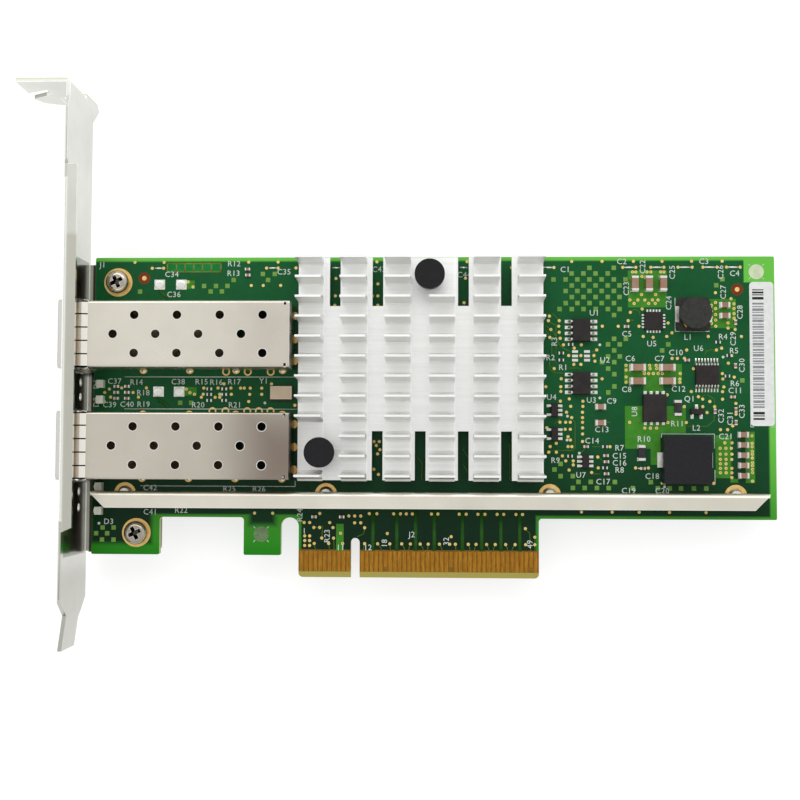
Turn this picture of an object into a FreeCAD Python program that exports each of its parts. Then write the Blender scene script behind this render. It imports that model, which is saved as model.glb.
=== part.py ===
import FreeCAD, Part

import os
import re
import Sketcher

# A dual-port network interface card for a server's eight-lane edge slot, in millimetres.
# The origin is on the centreline of the key notch, on the lower edge of the contact tongue and
# half way through the board. +X runs along the card away from the bracket, +Y runs up from the
# contact tongue and +Z stands out of the component side.

SIZES = [
    # the circuit board
    ("board_face", 0.785, "half the board's thickness: the component side's height"),
    ("board_left", -57.0, "edge beside the bracket"),
    ("board_right", 89.4, "far end"),
    ("board_top", 68.9, "upper edge"),
    ("shoulder_height", 12.7, "lower edge beside the contact tongue"),
    ("foot_right", -42.25, "right side of the foot at the bracket"),
    ("foot_bottom", 4.65, "lower edge of the foot and of the hook tab"),
    ("hook_left", -24.0, "left side of the hook tab"),
    ("hook_right", -16.0, "right side of the hook tab"),
    ("tongue_left", -12.15, "left side of the contact tongue"),
    ("tongue_right", 39.15, "right side of the contact tongue"),
    ("notch_width", 1.9, "key notch"),
    ("notch_height", 8.4, "key notch, to the top of its round end"),
    ("bevel_height", 1.25, "lead-in bevel along the contact edge"),
    ("bevel_depth", 0.42, "lead-in bevel, into the thickness"),
    ("corner_radius", 0.35, "outer corners of the board"),
    ("inner_radius", 0.7, "routed inner corners"),
    ("tongue_radius", 0.9, "outer corners of the tongue"),
    # the contact fingers
    ("foil_thickness", 0.05, "gold-plated copper"),
    ("contact_pitch", 1.0, "centre to centre"),
    ("contact_width", 0.7, "one finger"),
    ("contact_bottom", 1.3, "lower end of a full finger"),
    ("contact_top", 5.6, "upper end of every finger"),
    ("short_bottom", 2.35, "lower end of a short, last-mating finger"),
    ("left_contacts", 11, "fingers left of the key notch"),
    ("right_contacts", 38, "fingers right of the key notch"),
    # drilled holes and plated pads
    ("screw_hole", 3.3, "clearance for the bracket screws"),
    ("screw_pad", 6.2, "plated ring under a screw head"),
    ("upper_screw_x", -52.0, "upper bracket screw"),
    ("upper_screw_y", 63.5, "upper bracket screw"),
    ("lower_screw_x", -47.25, "lower bracket screw"),
    ("lower_screw_y", 9.3, "lower bracket screw"),
    ("pin_hole", 3.2, "hole for a push pin"),
    ("upper_pin_x", 15.9, "push pin near the upper edge"),
    ("upper_pin_y", 63.8, "push pin near the upper edge"),
    ("lower_pin_x", -6.95, "push pin near the lower left corner of the heat sink"),
    ("lower_pin_y", 26.6, "push pin near the lower left corner of the heat sink"),
    ("leg_hole", 1.05, "plated hole of a cage leg"),
    ("leg_pad", 1.7, "plated ring round a cage leg"),
    ("foot_pad", 4.8, "plated pad of a stiffener foot"),
    ("foot_row", 17.7, "the stiffener's holes lie in a row at this height"),
    ("large_land_length", 2.3, "land of a large part that is not fitted"),
    ("large_land_width", 2.15, "land of a large part that is not fitted"),
    ("small_land_length", 1.25, "land of a six-lead part that is not fitted"),
    ("small_land_width", 0.55, "land of a six-lead part that is not fitted"),
    # the bracket
    ("sheet_thickness", 0.86, "bracket sheet"),
    ("bracket_face", -60.4, "outer face of the bracket"),
    ("strip_near", 14.2, "strip edge on the component side"),
    ("strip_far", -4.22, "strip edge on the solder side"),
    ("strip_top", 105.1, "top of the bracket and upper face of its tab"),
    ("strip_bottom", -14.92, "tip of the lower tongue"),
    ("shoulder_step", 1.5, "the near edge steps in at the top by this much"),
    ("ear_reach", 4.35, "the upper ear stands out past the far edge by this much"),
    ("ear_height", 5.0, "the upper ear's slanted lower side starts this far down"),
    ("ear_corner", 1.3, "the upper ear's clipped corner"),
    ("taper_start", -3.6, "the near edge starts to taper towards the tongue"),
    ("taper_step", 1.2, "steps of the far taper"),
    ("tab_end", -71.3, "outer end of the tab"),
    ("tab_far", -4.3, "far side of the tab"),
    ("tab_radius", 1.3, "outside radius of the tab's bend"),
    ("bend_far", 1.3, "end of the tab's bend line"),
    ("relief_reach", 5.0, "bend relief, out from the strip's face"),
    ("relief_radius", 1.0, "inner corner of the bend relief"),
    ("slot_width", 4.1, "hold-down screw slot"),
    ("slot_end", -65.9, "inner end of the slot"),
    ("slot_lead", 2.0, "rounding of the slot's inner end"),
    ("slot_middle", 4.75, "middle of the slot at its inner end"),
    ("slot_slant", 2.8, "the slot's middle falls by this much towards the outer end"),
    ("prong_width", 9.0, "the far prong's clipped tip"),
    ("prong_clip", 4.2, "the far prong's clipped tip"),
    ("lip_reach", 5.2, "mounting lip, in from the outer face"),
    ("lip_bottom", 5.0, "lower end of the mounting lip"),
    ("lip_top", 68.0, "upper end of the mounting lip"),
    ("lip_radius", 1.6, "outside radius of the lip's fold"),
    ("ear_width", 9.0, "mounting ears under the screws"),
    ("boss_width", 6.0, "formed boss under each screw"),
    ("screw_thread", 2.5, "tapped hole of a boss"),
    ("ear_radius", 1.5, "corners of a mounting ear"),
    ("flange_reach", 3.05, "stiffening flange along the near edge, from the outer face"),
    ("flange_radius", 1.3, "outside radius of the flange's fold"),
    ("flange_bottom", 10.0, "lower end of the stiffening flange"),
    ("flange_top", 86.5, "upper end of the stiffening flange"),
    ("tongue_start", -7.6, "bend line of the lower tongue"),
    ("tongue_near", 9.4, "near side of the lower tongue"),
    ("tongue_far", 0.5, "far side of the lower tongue"),
    ("tongue_lean", 0.95, "the lower tongue leans outwards by this much at its tip"),
    ("light_hole", 1.8, "window of a status light"),
    # the bracket screws
    ("screw_head", 5.0, "pan head"),
    ("screw_head_height", 1.9, "pan head"),
    ("screw_dome", 1.1, "rounding of the head's upper edge"),
    ("screw_shank", 2.48, "shank, at the root of its thread"),
    ("screw_tip", -3.72, "end of the shank"),
    ("recess_width", 3.0, "cross recess at the top of the head"),
    ("recess_wing", 0.9, "one wing of the recess, at the top"),
    ("recess_point", 1.1, "the recess at its floor"),
    ("recess_depth", 1.3, "depth of the recess"),
    ("light_height", 1.9, "window's centre above the board's middle"),
    # the two pluggable-module cages
    ("upper_port_y", 51.25, "centreline of the upper port"),
    ("lower_port_y", 27.9, "centreline of the lower port"),
    ("cage_front", -62.0, "mouth of a cage"),
    ("cage_back", -13.3, "rear wall of a cage"),
    ("cage_width", 14.0, "outside width"),
    ("cage_top", 10.5, "top face above the board's middle"),
    ("cage_bottom", 0.95, "lower edge of the side walls"),
    ("cage_sheet", 0.3, "cage sheet"),
    ("vent_size", 1.8, "round vent in a cage top"),
    ("vent_pitch", 9.0, "vents along a row"),
    ("vent_row", 4.0, "from row to row"),
    ("leg_pitch", 10.1, "cage legs along a side"),
    ("first_leg", -46.2, "first leg of a side"),
    ("leg_width", 0.7, "one press-in leg"),
    ("leg_length", 2.9, "one press-in leg"),
    ("cage_corner", 0.45, "folded upper corners"),
    ("cage_lap", 0.01, "the rear wall laps the roof by this much"),
    ("middle_vents", -50.42, "first vent of the middle row"),
    ("outer_vents", -45.92, "first vent of the two outer rows"),
    ("corner_notch_length", 0.5, "relief at a rear corner of the roof"),
    ("corner_notch_width", 1.1, "relief at a rear corner of the roof"),
    ("corner_notch_back", 0.95, "relief, ahead of the rear wall"),
    ("corner_notch_edge", 0.35, "relief, in from the side wall"),
    ("leg_root", 0.5, "top of a leg above the side wall's lower edge"),
    ("floor_gap", 2.0, "the floor plate ends this far ahead of the connector"),
    ("mouth_gap", 0.75, "bracket opening, past the cage all round"),
    ("collar_sheet", 0.18, "spring collar sheet"),
    ("collar_end", -55.7, "inner end of the spring fingers"),
    ("collar_front", -61.9, "front edge of the hoop"),
    ("collar_hoop", 1.0, "length of the hoop"),
    ("bow_start", -61.0, "the fingers start to rise"),
    ("bow_crest", -60.1, "the fingers touch the bracket"),
    ("bow_fall", -58.5, "the fingers start to come down"),
    ("bow_foot", 0.1, "rise of the fingers where they start"),
    ("bow_rise", 0.5, "rise of the fingers at the bracket"),
    ("finger_margin", 0.3, "no finger this near to a corner of the cage"),
    ("side_margin", 0.4, "no side finger this near to the roof or the lower edge"),
    ("slit_width", 0.28, "slit between two fingers"),
    ("slit_length", 3.7, "slit between two fingers"),
    ("slit_middle", -57.35, "middle of a slit"),
    ("slit_pitch", 2.8, "from slit to slit over the roof"),
    ("low_slit", 3.2, "side slit above the cage's lower edge"),
    ("high_slit", 6.2, "side slit above the cage's lower edge"),
    ("band_length", 4.1, "plain band under the cage's mouth"),
    ("connector_back", -15.3, "rear face of a host connector"),
    ("connector_front", -24.0, "front face of a host connector"),
    ("connector_width", 11.2, "host connector"),
    ("connector_height", 5.4, "host connector, above the board"),
    ("card_slot_width", 9.2, "slot for a module's edge card"),
    ("card_slot_depth", 6.2, "slot for a module's edge card"),
    ("card_slot_bottom", 1.9, "slot above the board"),
    ("card_slot_height", 1.5, "slot for a module's edge card"),
    ("connector_lead_in", 1.5, "sloped upper front edge"),
    ("spring_contact_width", 0.3, "one contact"),
    ("spring_contact_sheet", 0.2, "one contact"),
    ("spring_contact_start", 0.6, "front end, behind the connector's face"),
    ("spring_contact_length", 4.8, "the part that lies in the slot"),
    ("contact_tail", 0.8, "soldered tail behind the connector"),
    ("connector_contact_count", 10, "contacts in a row"),
    ("connector_pitch", 0.8, "contacts of a host connector"),
    # the heat sink and what it stands on
    ("sink_left", -12.1, "left edge of the base"),
    ("sink_right", 39.9, "right edge of the base"),
    ("sink_bottom", 20.8, "lower edge of the base"),
    ("sink_top", 68.2, "upper edge of the base"),
    ("sink_underside", 3.0, "underside of the base"),
    ("sink_floor", 4.6, "floor between the fins"),
    ("fin_tip", 11.6, "tops of the fins"),
    ("fin_pitch", 4.15, "centre to centre"),
    ("fin_root_width", 2.3, "foot of a fin with its root radii"),
    ("fin_knee_width", 1.4, "fin part of the way up its root radii"),
    ("fin_waist_width", 0.95, "fin just above its root radii"),
    ("fin_tip_width", 0.45, "fin at its tip"),
    ("fin_knee", 0.3, "height of the knee above the floor"),
    ("fin_waist", 1.0, "height of the waist above the floor"),
    ("first_fin", 21.75, "centre of the lowest fin"),
    ("fin_count", 12, "fins up the heat sink"),
    ("column_pitch", 9.3, "fin columns"),
    ("column_width", 5.4, "length of one fin"),
    ("saw_count", 5, "saw cuts between the columns"),
    ("pin_clearing", 1.0, "the clearings round the push pins pass the column by this much"),
    ("pin_room", 0.2, "the base's holes are wider than the board's by this much"),
    ("edge_slot_width", 2.3, "open slot in the base"),
    ("edge_slot_depth", 10.4, "open slot in the base"),
    ("edge_slot_first", -4.3, "centre of the first slot"),
    ("edge_slot_pitch", 9.1, "from slot to slot"),
    ("controller_x", 13.85, "centre of the controller"),
    ("controller_y", 44.5, "centre of the controller"),
    ("controller_size", 25.0, "side of the substrate"),
    ("lid_size", 21.0, "side of the metal lid"),
    ("substrate_top", 2.0, "upper face of the substrate"),
    ("lid_top", 2.75, "upper face of the lid"),
    # the push pins
    ("pin_head", 6.3, "head of a push pin"),
    ("head_top", 10.9, "upper face of the head"),
    ("head_height", 1.4, "thickness of the head"),
    ("pin_shank", 3.0, "shank of a push pin"),
    ("pin_barb", 3.7, "snap barbs below the board"),
    ("barb_gap", 0.1, "the barbs hang below the board by this much"),
    ("barb_height", 0.9, "snap barbs below the board"),
    ("pin_split", 0.7, "slit up the shank"),
    ("pin_split_height", 3.51, "slit up the shank"),
    ("pin_end", -2.9, "lower end of a push pin"),
    ("spring_width", 4.6, "mean coil diameter"),
    ("spring_wire", 0.5, "wire of a push pin's spring"),
    ("spring_turns", 4, "turns between head and base"),
    ("spring_gap", 0.02, "free height at each end of the spring"),
    # the stiffener bar
    ("bar_left", -55.9, "left end"),
    ("bar_right", 86.6, "right end"),
    ("bar_back", 18.3, "face of the upright wall"),
    ("bar_front", 14.85, "free edge of the flange"),
    ("bar_sheet", 0.65, "bar sheet"),
    ("bar_top", 6.9, "upper face of the flange"),
    ("bar_clearance", 1.3, "upright wall above the board"),
    ("bar_radius", 0.85, "outside radius of the bar's fold"),
    ("bar_mitre", 3.2, "the flange's ends are cut back by this much"),
    ("bar_foot_length", 1.9, "foot below the component side's face"),
    ("foot_width", 1.9, "a foot where it enters the board"),
    ("foot_hole", 2.4, "hole of a foot"),
    ("solder_width", 3.4, "solder round a foot"),
    ("solder_slope", 0.55, "solder narrows by this much, each side, up the foot"),
    ("solder_height", 0.75, "solder round a foot"),
    # moulded packages: width is across the lead rows, span is over the lead tips
    ("mould_draft", 0.12, "each side leans in by this much"),
    ("mould_lift", 0.1, "body above the board"),
    ("lead_sheet", 0.18, "lead frame"),
    ("lead_step", 0.2, "flat length beside the body"),
    ("lead_foot", 0.5, "flat length on the board"),
    ("memory_width", 3.9, "eight-lead memory"),
    ("memory_length", 4.9, "eight-lead memory"),
    ("memory_height", 1.5, "eight-lead memory"),
    ("memory_span", 6.4, "eight-lead memory"),
    ("memory_pitch", 1.27, "eight-lead memory and power switch"),
    ("memory_lead", 0.42, "width of its leads"),
    ("buffer_width", 4.3, "sixteen-lead buffer"),
    ("buffer_length", 5.0, "sixteen-lead buffer"),
    ("buffer_height", 0.95, "sixteen-lead buffer"),
    ("buffer_span", 6.6, "sixteen-lead buffer"),
    ("buffer_pitch", 0.65, "sixteen-lead buffer and leadless clock"),
    ("buffer_lead", 0.24, "width of its leads"),
    ("switch_width", 6.0, "power switch"),
    ("switch_length", 5.1, "power switch"),
    ("switch_height", 1.05, "power switch"),
    ("switch_tab", 0.35, "its terminals past the body"),
    ("switch_terminal", 0.5, "width of its terminals"),
    ("switch_sheet", 0.25, "thickness of its terminals"),
    ("regulator_width", 1.6, "small regulator"),
    ("regulator_length", 2.9, "small regulator"),
    ("regulator_height", 1.05, "small regulator"),
    ("regulator_span", 2.9, "small regulator"),
    ("regulator_pitch", 0.95, "small regulator and transistor"),
    ("regulator_lead", 0.36, "width of its leads"),
    ("transistor_width", 1.3, "small transistor"),
    ("transistor_length", 2.9, "small transistor"),
    ("transistor_height", 1.0, "small transistor"),
    ("transistor_span", 2.5, "small transistor"),
    ("clock_width", 4.0, "leadless clock"),
    ("clock_length", 4.0, "leadless clock"),
    ("clock_height", 0.85, "leadless clock"),
    ("clock_pad", 0.5, "length of its pads past the body"),
    ("clock_land", 0.35, "width of its pads"),
    # two-terminal chips: a body between two metal ends
    ("large_capacitor_length", 3.2, "over the ends"),
    ("large_capacitor_width", 1.4, "across"),
    ("large_capacitor_height", 1.4, "above the board"),
    ("large_capacitor_end", 0.5, "one metal end"),
    ("medium_capacitor_length", 2.1, "over the ends"),
    ("medium_capacitor_width", 1.1, "across"),
    ("medium_capacitor_height", 1.0, "above the board"),
    ("medium_capacitor_end", 0.4, "one metal end"),
    ("small_capacitor_length", 1.1, "over the ends"),
    ("small_capacitor_width", 0.55, "across"),
    ("small_capacitor_height", 0.55, "above the board"),
    ("small_capacitor_end", 0.25, "one metal end"),
    ("small_resistor_length", 1.1, "over the ends"),
    ("small_resistor_width", 0.55, "across"),
    ("small_resistor_height", 0.4, "above the board"),
    ("small_resistor_end", 0.25, "one metal end"),
    ("sense_resistor_length", 3.2, "over the ends"),
    ("sense_resistor_width", 1.45, "across"),
    ("sense_resistor_height", 0.6, "above the board"),
    ("sense_resistor_end", 0.5, "one metal end"),
    ("end_wrap", 0.02, "the metal ends stand proud of the body by this much"),
    # coils, crystal, lights and label
    ("drum_x", 72.0, "centre of the round inductor"),
    ("drum_y", 56.35, "centre of the round inductor"),
    ("drum_base", 7.2, "side of its base"),
    ("drum_base_height", 0.9, "its base"),
    ("drum_corner", 1.2, "corners of its base"),
    ("drum_waist", 6.0, "its wound drum"),
    ("drum_height", 2.3, "its wound drum"),
    ("drum_cap", 6.7, "its cap"),
    ("drum_cap_height", 0.75, "its cap"),
    ("drum_lift", 0.15, "base above the board, on its terminals"),
    ("drum_terminal", 3.4, "length of a terminal"),
    ("drum_strap", 0.3, "a terminal stands out past the base"),
    ("drum_lap", 0.55, "a terminal laps the top of the base"),
    ("drum_clip", 0.12, "thickness of a terminal on the base"),
    ("drum_toe", 1.3, "a terminal under the base"),
    ("coil_x", 70.1, "centre of the square inductor"),
    ("coil_y", 25.3, "centre of the square inductor"),
    ("coil_side", 10.0, "its side"),
    ("coil_height", 3.9, "its body"),
    ("coil_corner", 0.5, "its corners"),
    ("coil_foot", 0.1, "terminal under the body"),
    ("coil_terminal", 3.2, "width of a terminal"),
    ("coil_strap", 0.3, "thickness of a terminal up the side"),
    ("coil_strap_height", 2.2, "terminal up the side"),
    ("coil_toe", 0.85, "terminal on the board, past the body"),
    ("coil_toe_height", 0.35, "terminal on the board, past the body"),
    ("coil_heel", 1.3, "terminal under the body"),
    ("crystal_x", -16.1, "centre of the crystal"),
    ("crystal_y", 39.45, "centre of the crystal"),
    ("crystal_length", 5.0, "its tub"),
    ("crystal_width", 3.2, "its tub"),
    ("crystal_height", 0.75, "its tub"),
    ("crystal_rim", 0.22, "its lid is smaller by this much all round"),
    ("crystal_lid", 0.35, "its lid"),
    ("lamp_x", -55.3, "centre of a status light"),
    ("lamp_length", 1.5, "body of a status light"),
    ("lamp_width", 1.7, "body of a status light"),
    ("lamp_height", 1.6, "body of a status light"),
    ("lamp_lens", 1.1, "lens of a status light"),
    ("lamp_reach", 0.25, "lens out of the body"),
    ("label_x", 86.6, "centre of the label"),
    ("label_y", 48.0, "centre of the label"),
    ("label_width", 5.1, "the label"),
    ("label_height", 30.8, "the label"),
    ("label_paper", 0.1, "the label"),
    ("label_corner", 0.8, "the label"),
    ("land_thickness", 0.08, "tinned land of a part that is not fitted"),
    ("target_width", 1.0, "round plated target"),
    ("hidden_chip", 1.0, "length of a decoupling chip on the solder side"),
    ("hidden_pitch", 4.5, "their spacing under the controller"),
]

# Places of the parts on the board. A pair is the part's centre; "along" lies in X, "up" in Y.
FOOT_PLACES = [-49.85, -6.35, 41.5, 80.8]
LIGHT_WINDOWS = [41.6, 38.5, 18.1, 14.7]
LIGHT_PLACES = [41.3, 37.9, 19.2, 14.0]
TARGET_PLACES = [(81.5, 61.8), (-46.3, 64.4)]
LARGE_LANDS = [(-42.9, 63.0), (-38.15, 63.0), (-42.85, 39.7), (-38.35, 39.7)]
SMALL_LANDS = [(column, row) for column in (46.95, 49.5) for row in (48.45, 47.5, 46.6)]
LARGE_CAPACITORS = [
    (59.7, 63.0, "up"), (62.7, 63.0, "up"), (65.7, 63.0, "up"),
    (60.2, 45.0, "along"), (66.5, 45.0, "along"), (60.2, 42.1, "along"), (66.5, 42.1, "along"),
]
MEDIUM_CAPACITORS = [
    (78.75, 58.4, "along"), (78.75, 56.1, "along"), (52.3, 36.6, "along"), (52.3, 33.2, "along"),
] + [(82.4, 22.05 + 2.17 * step, "along") for step in range(5)]
SENSE_RESISTORS = [(68.7, 36.4, "up"), (61.0, 26.8, "up")]
SMALL_CAPACITORS = [
    (-23.7, 66.3, "along"), (-23.6, 65.0, "along"), (-8.85, 12.9, "along"), (-2.9, 12.9, "along"),
    (57.9, 53.8, "along"), (70.7, 46.6, "along"), (81.0, 54.7, "up"), (80.9, 45.4, "up"),
    (76.5, 35.7, "up"), (80.9, 36.0, "up"), (80.9, 33.3, "up"), (80.3, 38.75, "along"),
    (49.2, 28.1, "along"), (61.2, 23.5, "along"), (53.4, 26.2, "along"), (53.5, 24.9, "along"),
    (53.5, 22.35, "along"),
] + [(column, row, "along") for column in (-52.0, -49.65) for row in (38.2, 39.5, 40.8)]
SMALL_RESISTORS = [
    (46.0, 49.95, "along"), (44.0, 48.1, "along"), (44.0, 46.6, "along"), (77.3, 50.45, "along"),
    (79.6, 47.6, "along"), (79.2, 43.2, "along"), (45.8, 26.05, "along"), (53.2, 28.1, "along"),
    (53.2, 23.6, "along"),
] + [(column, row, "along") for column in (-31.75, -28.5) for row in (37.8, 39.1, 40.3)]

PLANES = {"XY": 1, "XZ": -1, "YZ": 1}

doc = FreeCAD.newDocument("network_interface_card")
sheet = doc.addObject("Spreadsheet::Sheet", "Sizes")
for row, (alias, number, note) in enumerate(SIZES, start=1):
    sheet.set("A%d" % row, alias)
    sheet.set("B%d" % row, str(number))
    sheet.setAlias("B%d" % row, alias)
    sheet.set("C%d" % row, note)
doc.recompute()

nodes = []


def sized(text):
    """The expression with each size's name pointed at its cell."""
    return re.sub(r"[a-z]+(?:_[a-z]+)+", lambda name: "Sizes." + name.group(0), str(text))


def value(text):
    """The present number of an expression in the sheet's sizes."""
    return float(sheet.evalExpression(sized(text)))


def bind(thing, prop, text):
    thing.setExpression(prop, sized(text))


def publish(thing, name):
    """Name a finished sub-part; the label is also the name of its file."""
    thing.Label = name
    nodes.append(thing)
    return thing


def new_body(name):
    return doc.addObject("PartDesign::Body", name + "_body")


def rectangle(left, bottom, right, top):
    return [(left, bottom), (right, bottom), (right, top), (left, top)]


def centred(x, y, width, height):
    return rectangle(f"{x} - ({width}) / 2", f"{y} - ({height}) / 2",
                     f"{x} + ({width}) / 2", f"{y} + ({height}) / 2")


def hold(sketch, geometry, vertex, x, y):
    """Hold one point of a sketch at its own distances from the sketch's origin."""
    for kind, text in (("DistanceX", x), ("DistanceY", y)):
        index = sketch.addConstraint(Sketcher.Constraint(kind, -1, 1, geometry, vertex, value(text)))
        sketch.setExpression("Constraints[%d]" % index, sized(text))


def draw_polygon(sketch, corners):
    points = [FreeCAD.Vector(value(x), value(y), 0) for x, y in corners]
    first = sketch.GeometryCount
    count = len(points)
    for index, point in enumerate(points):
        sketch.addGeometry(Part.LineSegment(point, points[(index + 1) % count]), False)
    for index, (x, y) in enumerate(corners):
        following = first + (index + 1) % count
        sketch.addConstraint(Sketcher.Constraint("Coincident", first + index, 2, following, 1))
        hold(sketch, first + index, 1, x, y)


def draw_circle(sketch, x, y, diameter):
    centre = FreeCAD.Vector(value(x), value(y), 0)
    circle = sketch.addGeometry(Part.Circle(centre, FreeCAD.Vector(0, 0, 1), value(diameter) / 2), False)
    hold(sketch, circle, 3, x, y)
    index = sketch.addConstraint(Sketcher.Constraint("Diameter", circle, value(diameter)))
    sketch.setExpression("Constraints[%d]" % index, sized(diameter))


def sketch_on(body, plane, start, shapes):
    """A sketch on one of the body's own origin planes, moved along its axis to the start."""
    role = plane + "_Plane"
    datum = [feature for feature in body.Origin.OriginFeatures if feature.Role == role][0]
    sketch = body.newObject("Sketcher::SketchObject", "outline")
    sketch.AttachmentSupport = [(datum, "")]
    sketch.MapMode = "FlatFace"
    bind(sketch, "AttachmentOffset.Base.z", f"{PLANES[plane]} * ({start})")
    for shape in shapes:
        if isinstance(shape, tuple):
            draw_circle(sketch, *shape)
        else:
            draw_polygon(sketch, shape)
    return sketch


def add(body, plane, start, length, *shapes):
    """Add material from the start plane towards the positive axis."""
    feature = body.newObject("PartDesign::Pad", "pad")
    feature.Profile = sketch_on(body, plane, start, shapes)
    feature.Reversed = PLANES[plane] < 0
    bind(feature, "Length", length)
    return feature


def cut(body, plane, start, length, *shapes):
    """Take material away from the start plane towards the positive axis."""
    feature = body.newObject("PartDesign::Pocket", "pocket")
    feature.Profile = sketch_on(body, plane, start, shapes)
    feature.Reversed = PLANES[plane] > 0
    bind(feature, "Length", length)
    return feature


def repeat(body, feature, axis, pitch, count):
    """Repeat a feature along the horizontal or vertical axis of its own sketch."""
    pattern = body.newObject("PartDesign::LinearPattern", "row")
    pattern.Originals = [feature]
    pattern.Direction = (feature.Profile[0], [axis])
    pattern.Mode = "Spacing"
    bind(pattern, "Offset", pitch)
    bind(pattern, "Occurrences", count)
    body.Tip = pattern
    return pattern


def round_edges(body, radius, direction, places):
    """Round the edges that run along the direction through the given places."""
    doc.recompute()
    base = body.Tip
    across = [axis for axis in range(3) if abs(direction[axis]) < 0.5]
    targets = [tuple(value(text) for text in place) for place in places]
    chosen = []
    for number, edge in enumerate(base.Shape.Edges, start=1):
        ends = [vertex.Point for vertex in edge.Vertexes]
        if len(ends) < 2:
            continue
        for target in targets:
            spread = [abs(end[axis] - wanted) for end in ends for axis, wanted in zip(across, target)]
            if max(spread) < 1e-4:
                chosen.append("Edge%d" % number)
    fillet = body.newObject("PartDesign::Fillet", "fillet")
    fillet.Base = (base, chosen)
    bind(fillet, "Radius", radius)
    return fillet


def block(name, left, front, bottom, length, width, height):
    box = doc.addObject("Part::Box", name)
    for prop, text in (("Length", length), ("Width", width), ("Height", height)):
        bind(box, prop, text)
    for axis, text in (("x", left), ("y", front), ("z", bottom)):
        bind(box, "Placement.Base." + axis, text)
    return box


def block_at(name, x, y, bottom, length, width, height):
    """A block stood on a level, about its own centre."""
    return block(name, f"{x} - ({length}) / 2", f"{y} - ({width}) / 2", bottom, length, width, height)


def rod(name, x, y, bottom, diameter, height):
    cylinder = doc.addObject("Part::Cylinder", name)
    bind(cylinder, "Radius", f"({diameter}) / 2")
    bind(cylinder, "Height", height)
    for axis, text in (("x", x), ("y", y), ("z", bottom)):
        bind(cylinder, "Placement.Base." + axis, text)
    return cylinder


def group(name, members):
    """Several separate solids of one kind under one name."""
    compound = doc.addObject("Part::Compound", name + "_group")
    compound.Links = members
    return publish(compound, name)


def taken_from(name, base, tool):
    result = doc.addObject("Part::Cut", name)
    result.Base = base
    result.Tool = tool
    return result


# ---------------------------------------------------------------------------- the circuit board

def cage_leg_places(centre):
    """Legs along both sides of a cage and along its rear wall."""
    half = "(cage_width - cage_sheet) / 2"
    sides = [(f"first_leg + {step} * leg_pitch", f"{centre} {sign} {half}")
             for step in range(4) for sign in "-+"]
    rear = [("cage_back - cage_sheet / 2", f"{centre} + {offset}") for offset in (-4.9, 0, 4.9)]
    return sides, rear


def circuit_board():
    """Pressed glass-epoxy board, routed to shape, with its contact edge bevelled on both faces."""
    board = new_body("circuit_board")
    add(board, "XY", "-board_face", "2 * board_face", [
        ("board_left", "board_top"), ("board_right", "board_top"),
        ("board_right", "shoulder_height"), ("tongue_right", "shoulder_height"),
        ("tongue_right", "0"), ("tongue_left", "0"),
        ("tongue_left", "shoulder_height"), ("hook_right", "shoulder_height"),
        ("hook_right", "foot_bottom"), ("hook_left", "foot_bottom"),
        ("hook_left", "shoulder_height"), ("foot_right", "shoulder_height"),
        ("foot_right", "foot_bottom"), ("board_left", "foot_bottom"),
    ])
    outside = [("board_left", "board_top"), ("board_right", "board_top"),
               ("board_right", "shoulder_height"), ("hook_right", "foot_bottom"),
               ("hook_left", "foot_bottom"), ("foot_right", "foot_bottom"),
               ("board_left", "foot_bottom")]
    inside = [("tongue_right", "shoulder_height"), ("hook_left", "shoulder_height"),
              ("foot_right", "shoulder_height")]
    throat = [("tongue_left", "shoulder_height"), ("hook_right", "shoulder_height")]
    tongue = [("tongue_right", "0"), ("tongue_left", "0")]
    upright = (0, 0, 1)
    round_edges(board, "corner_radius", upright, outside)
    round_edges(board, "inner_radius", upright, inside)
    round_edges(board, "(tongue_left - hook_right) / 2 - 0.02", upright, throat)
    round_edges(board, "tongue_radius", upright, tongue)
    notch_centre = "notch_height - notch_width / 2"
    cut(board, "XY", "-board_face", "2 * board_face",
        rectangle("-notch_width / 2", "-1", "notch_width / 2", notch_centre))
    cut(board, "XY", "-board_face", "2 * board_face", ("0", notch_centre, "notch_width"))
    for side in ("", "-"):
        face = f"{side}board_face"
        floor = f"{side}(board_face - bevel_depth)"
        beyond = f"{side}(board_face + 1)"
        cut(board, "YZ", "tongue_left - 1", "tongue_right - tongue_left + 2",
            [("bevel_height", face), ("0", floor), ("-1", floor), ("-1", beyond), ("bevel_height", beyond)])
    holes = [("upper_screw_x", "upper_screw_y", "screw_hole"),
             ("lower_screw_x", "lower_screw_y", "screw_hole"),
             ("upper_pin_x", "upper_pin_y", "pin_hole"),
             ("lower_pin_x", "lower_pin_y", "pin_hole")]
    for centre in ("upper_port_y", "lower_port_y"):
        sides, rear = cage_leg_places(centre)
        holes += [(x, y, "leg_hole") for x, y in sides + rear]
    holes += [(str(x), "foot_row", "foot_hole") for x in FOOT_PLACES]
    cut(board, "XY", "-board_face", "2 * board_face", *holes)
    publish(board, "circuit_board")


def edge_contacts(name, level, short_contacts):
    """Gold fingers in two rows, either side of the key notch, with a few that mate last."""
    fingers = new_body(name)
    left_end = "-(left_contacts + 0.5) * contact_pitch"
    right_end = "1.5 * contact_pitch"
    for first, count in ((left_end, "left_contacts"), (right_end, "right_contacts")):
        finger = add(fingers, "XY", level, "foil_thickness",
                     rectangle(f"{first} - contact_width / 2", "contact_bottom",
                               f"{first} + contact_width / 2", "contact_top"))
        repeat(fingers, finger, "H_Axis", "contact_pitch", count)
    cut(fingers, "XY", level, "foil_thickness",
        *[centred(str(x), "(contact_bottom + short_bottom) / 2", "contact_width + 0.1",
                  "short_bottom - contact_bottom + 0.02") for x in short_contacts])
    publish(fingers, name)


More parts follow.
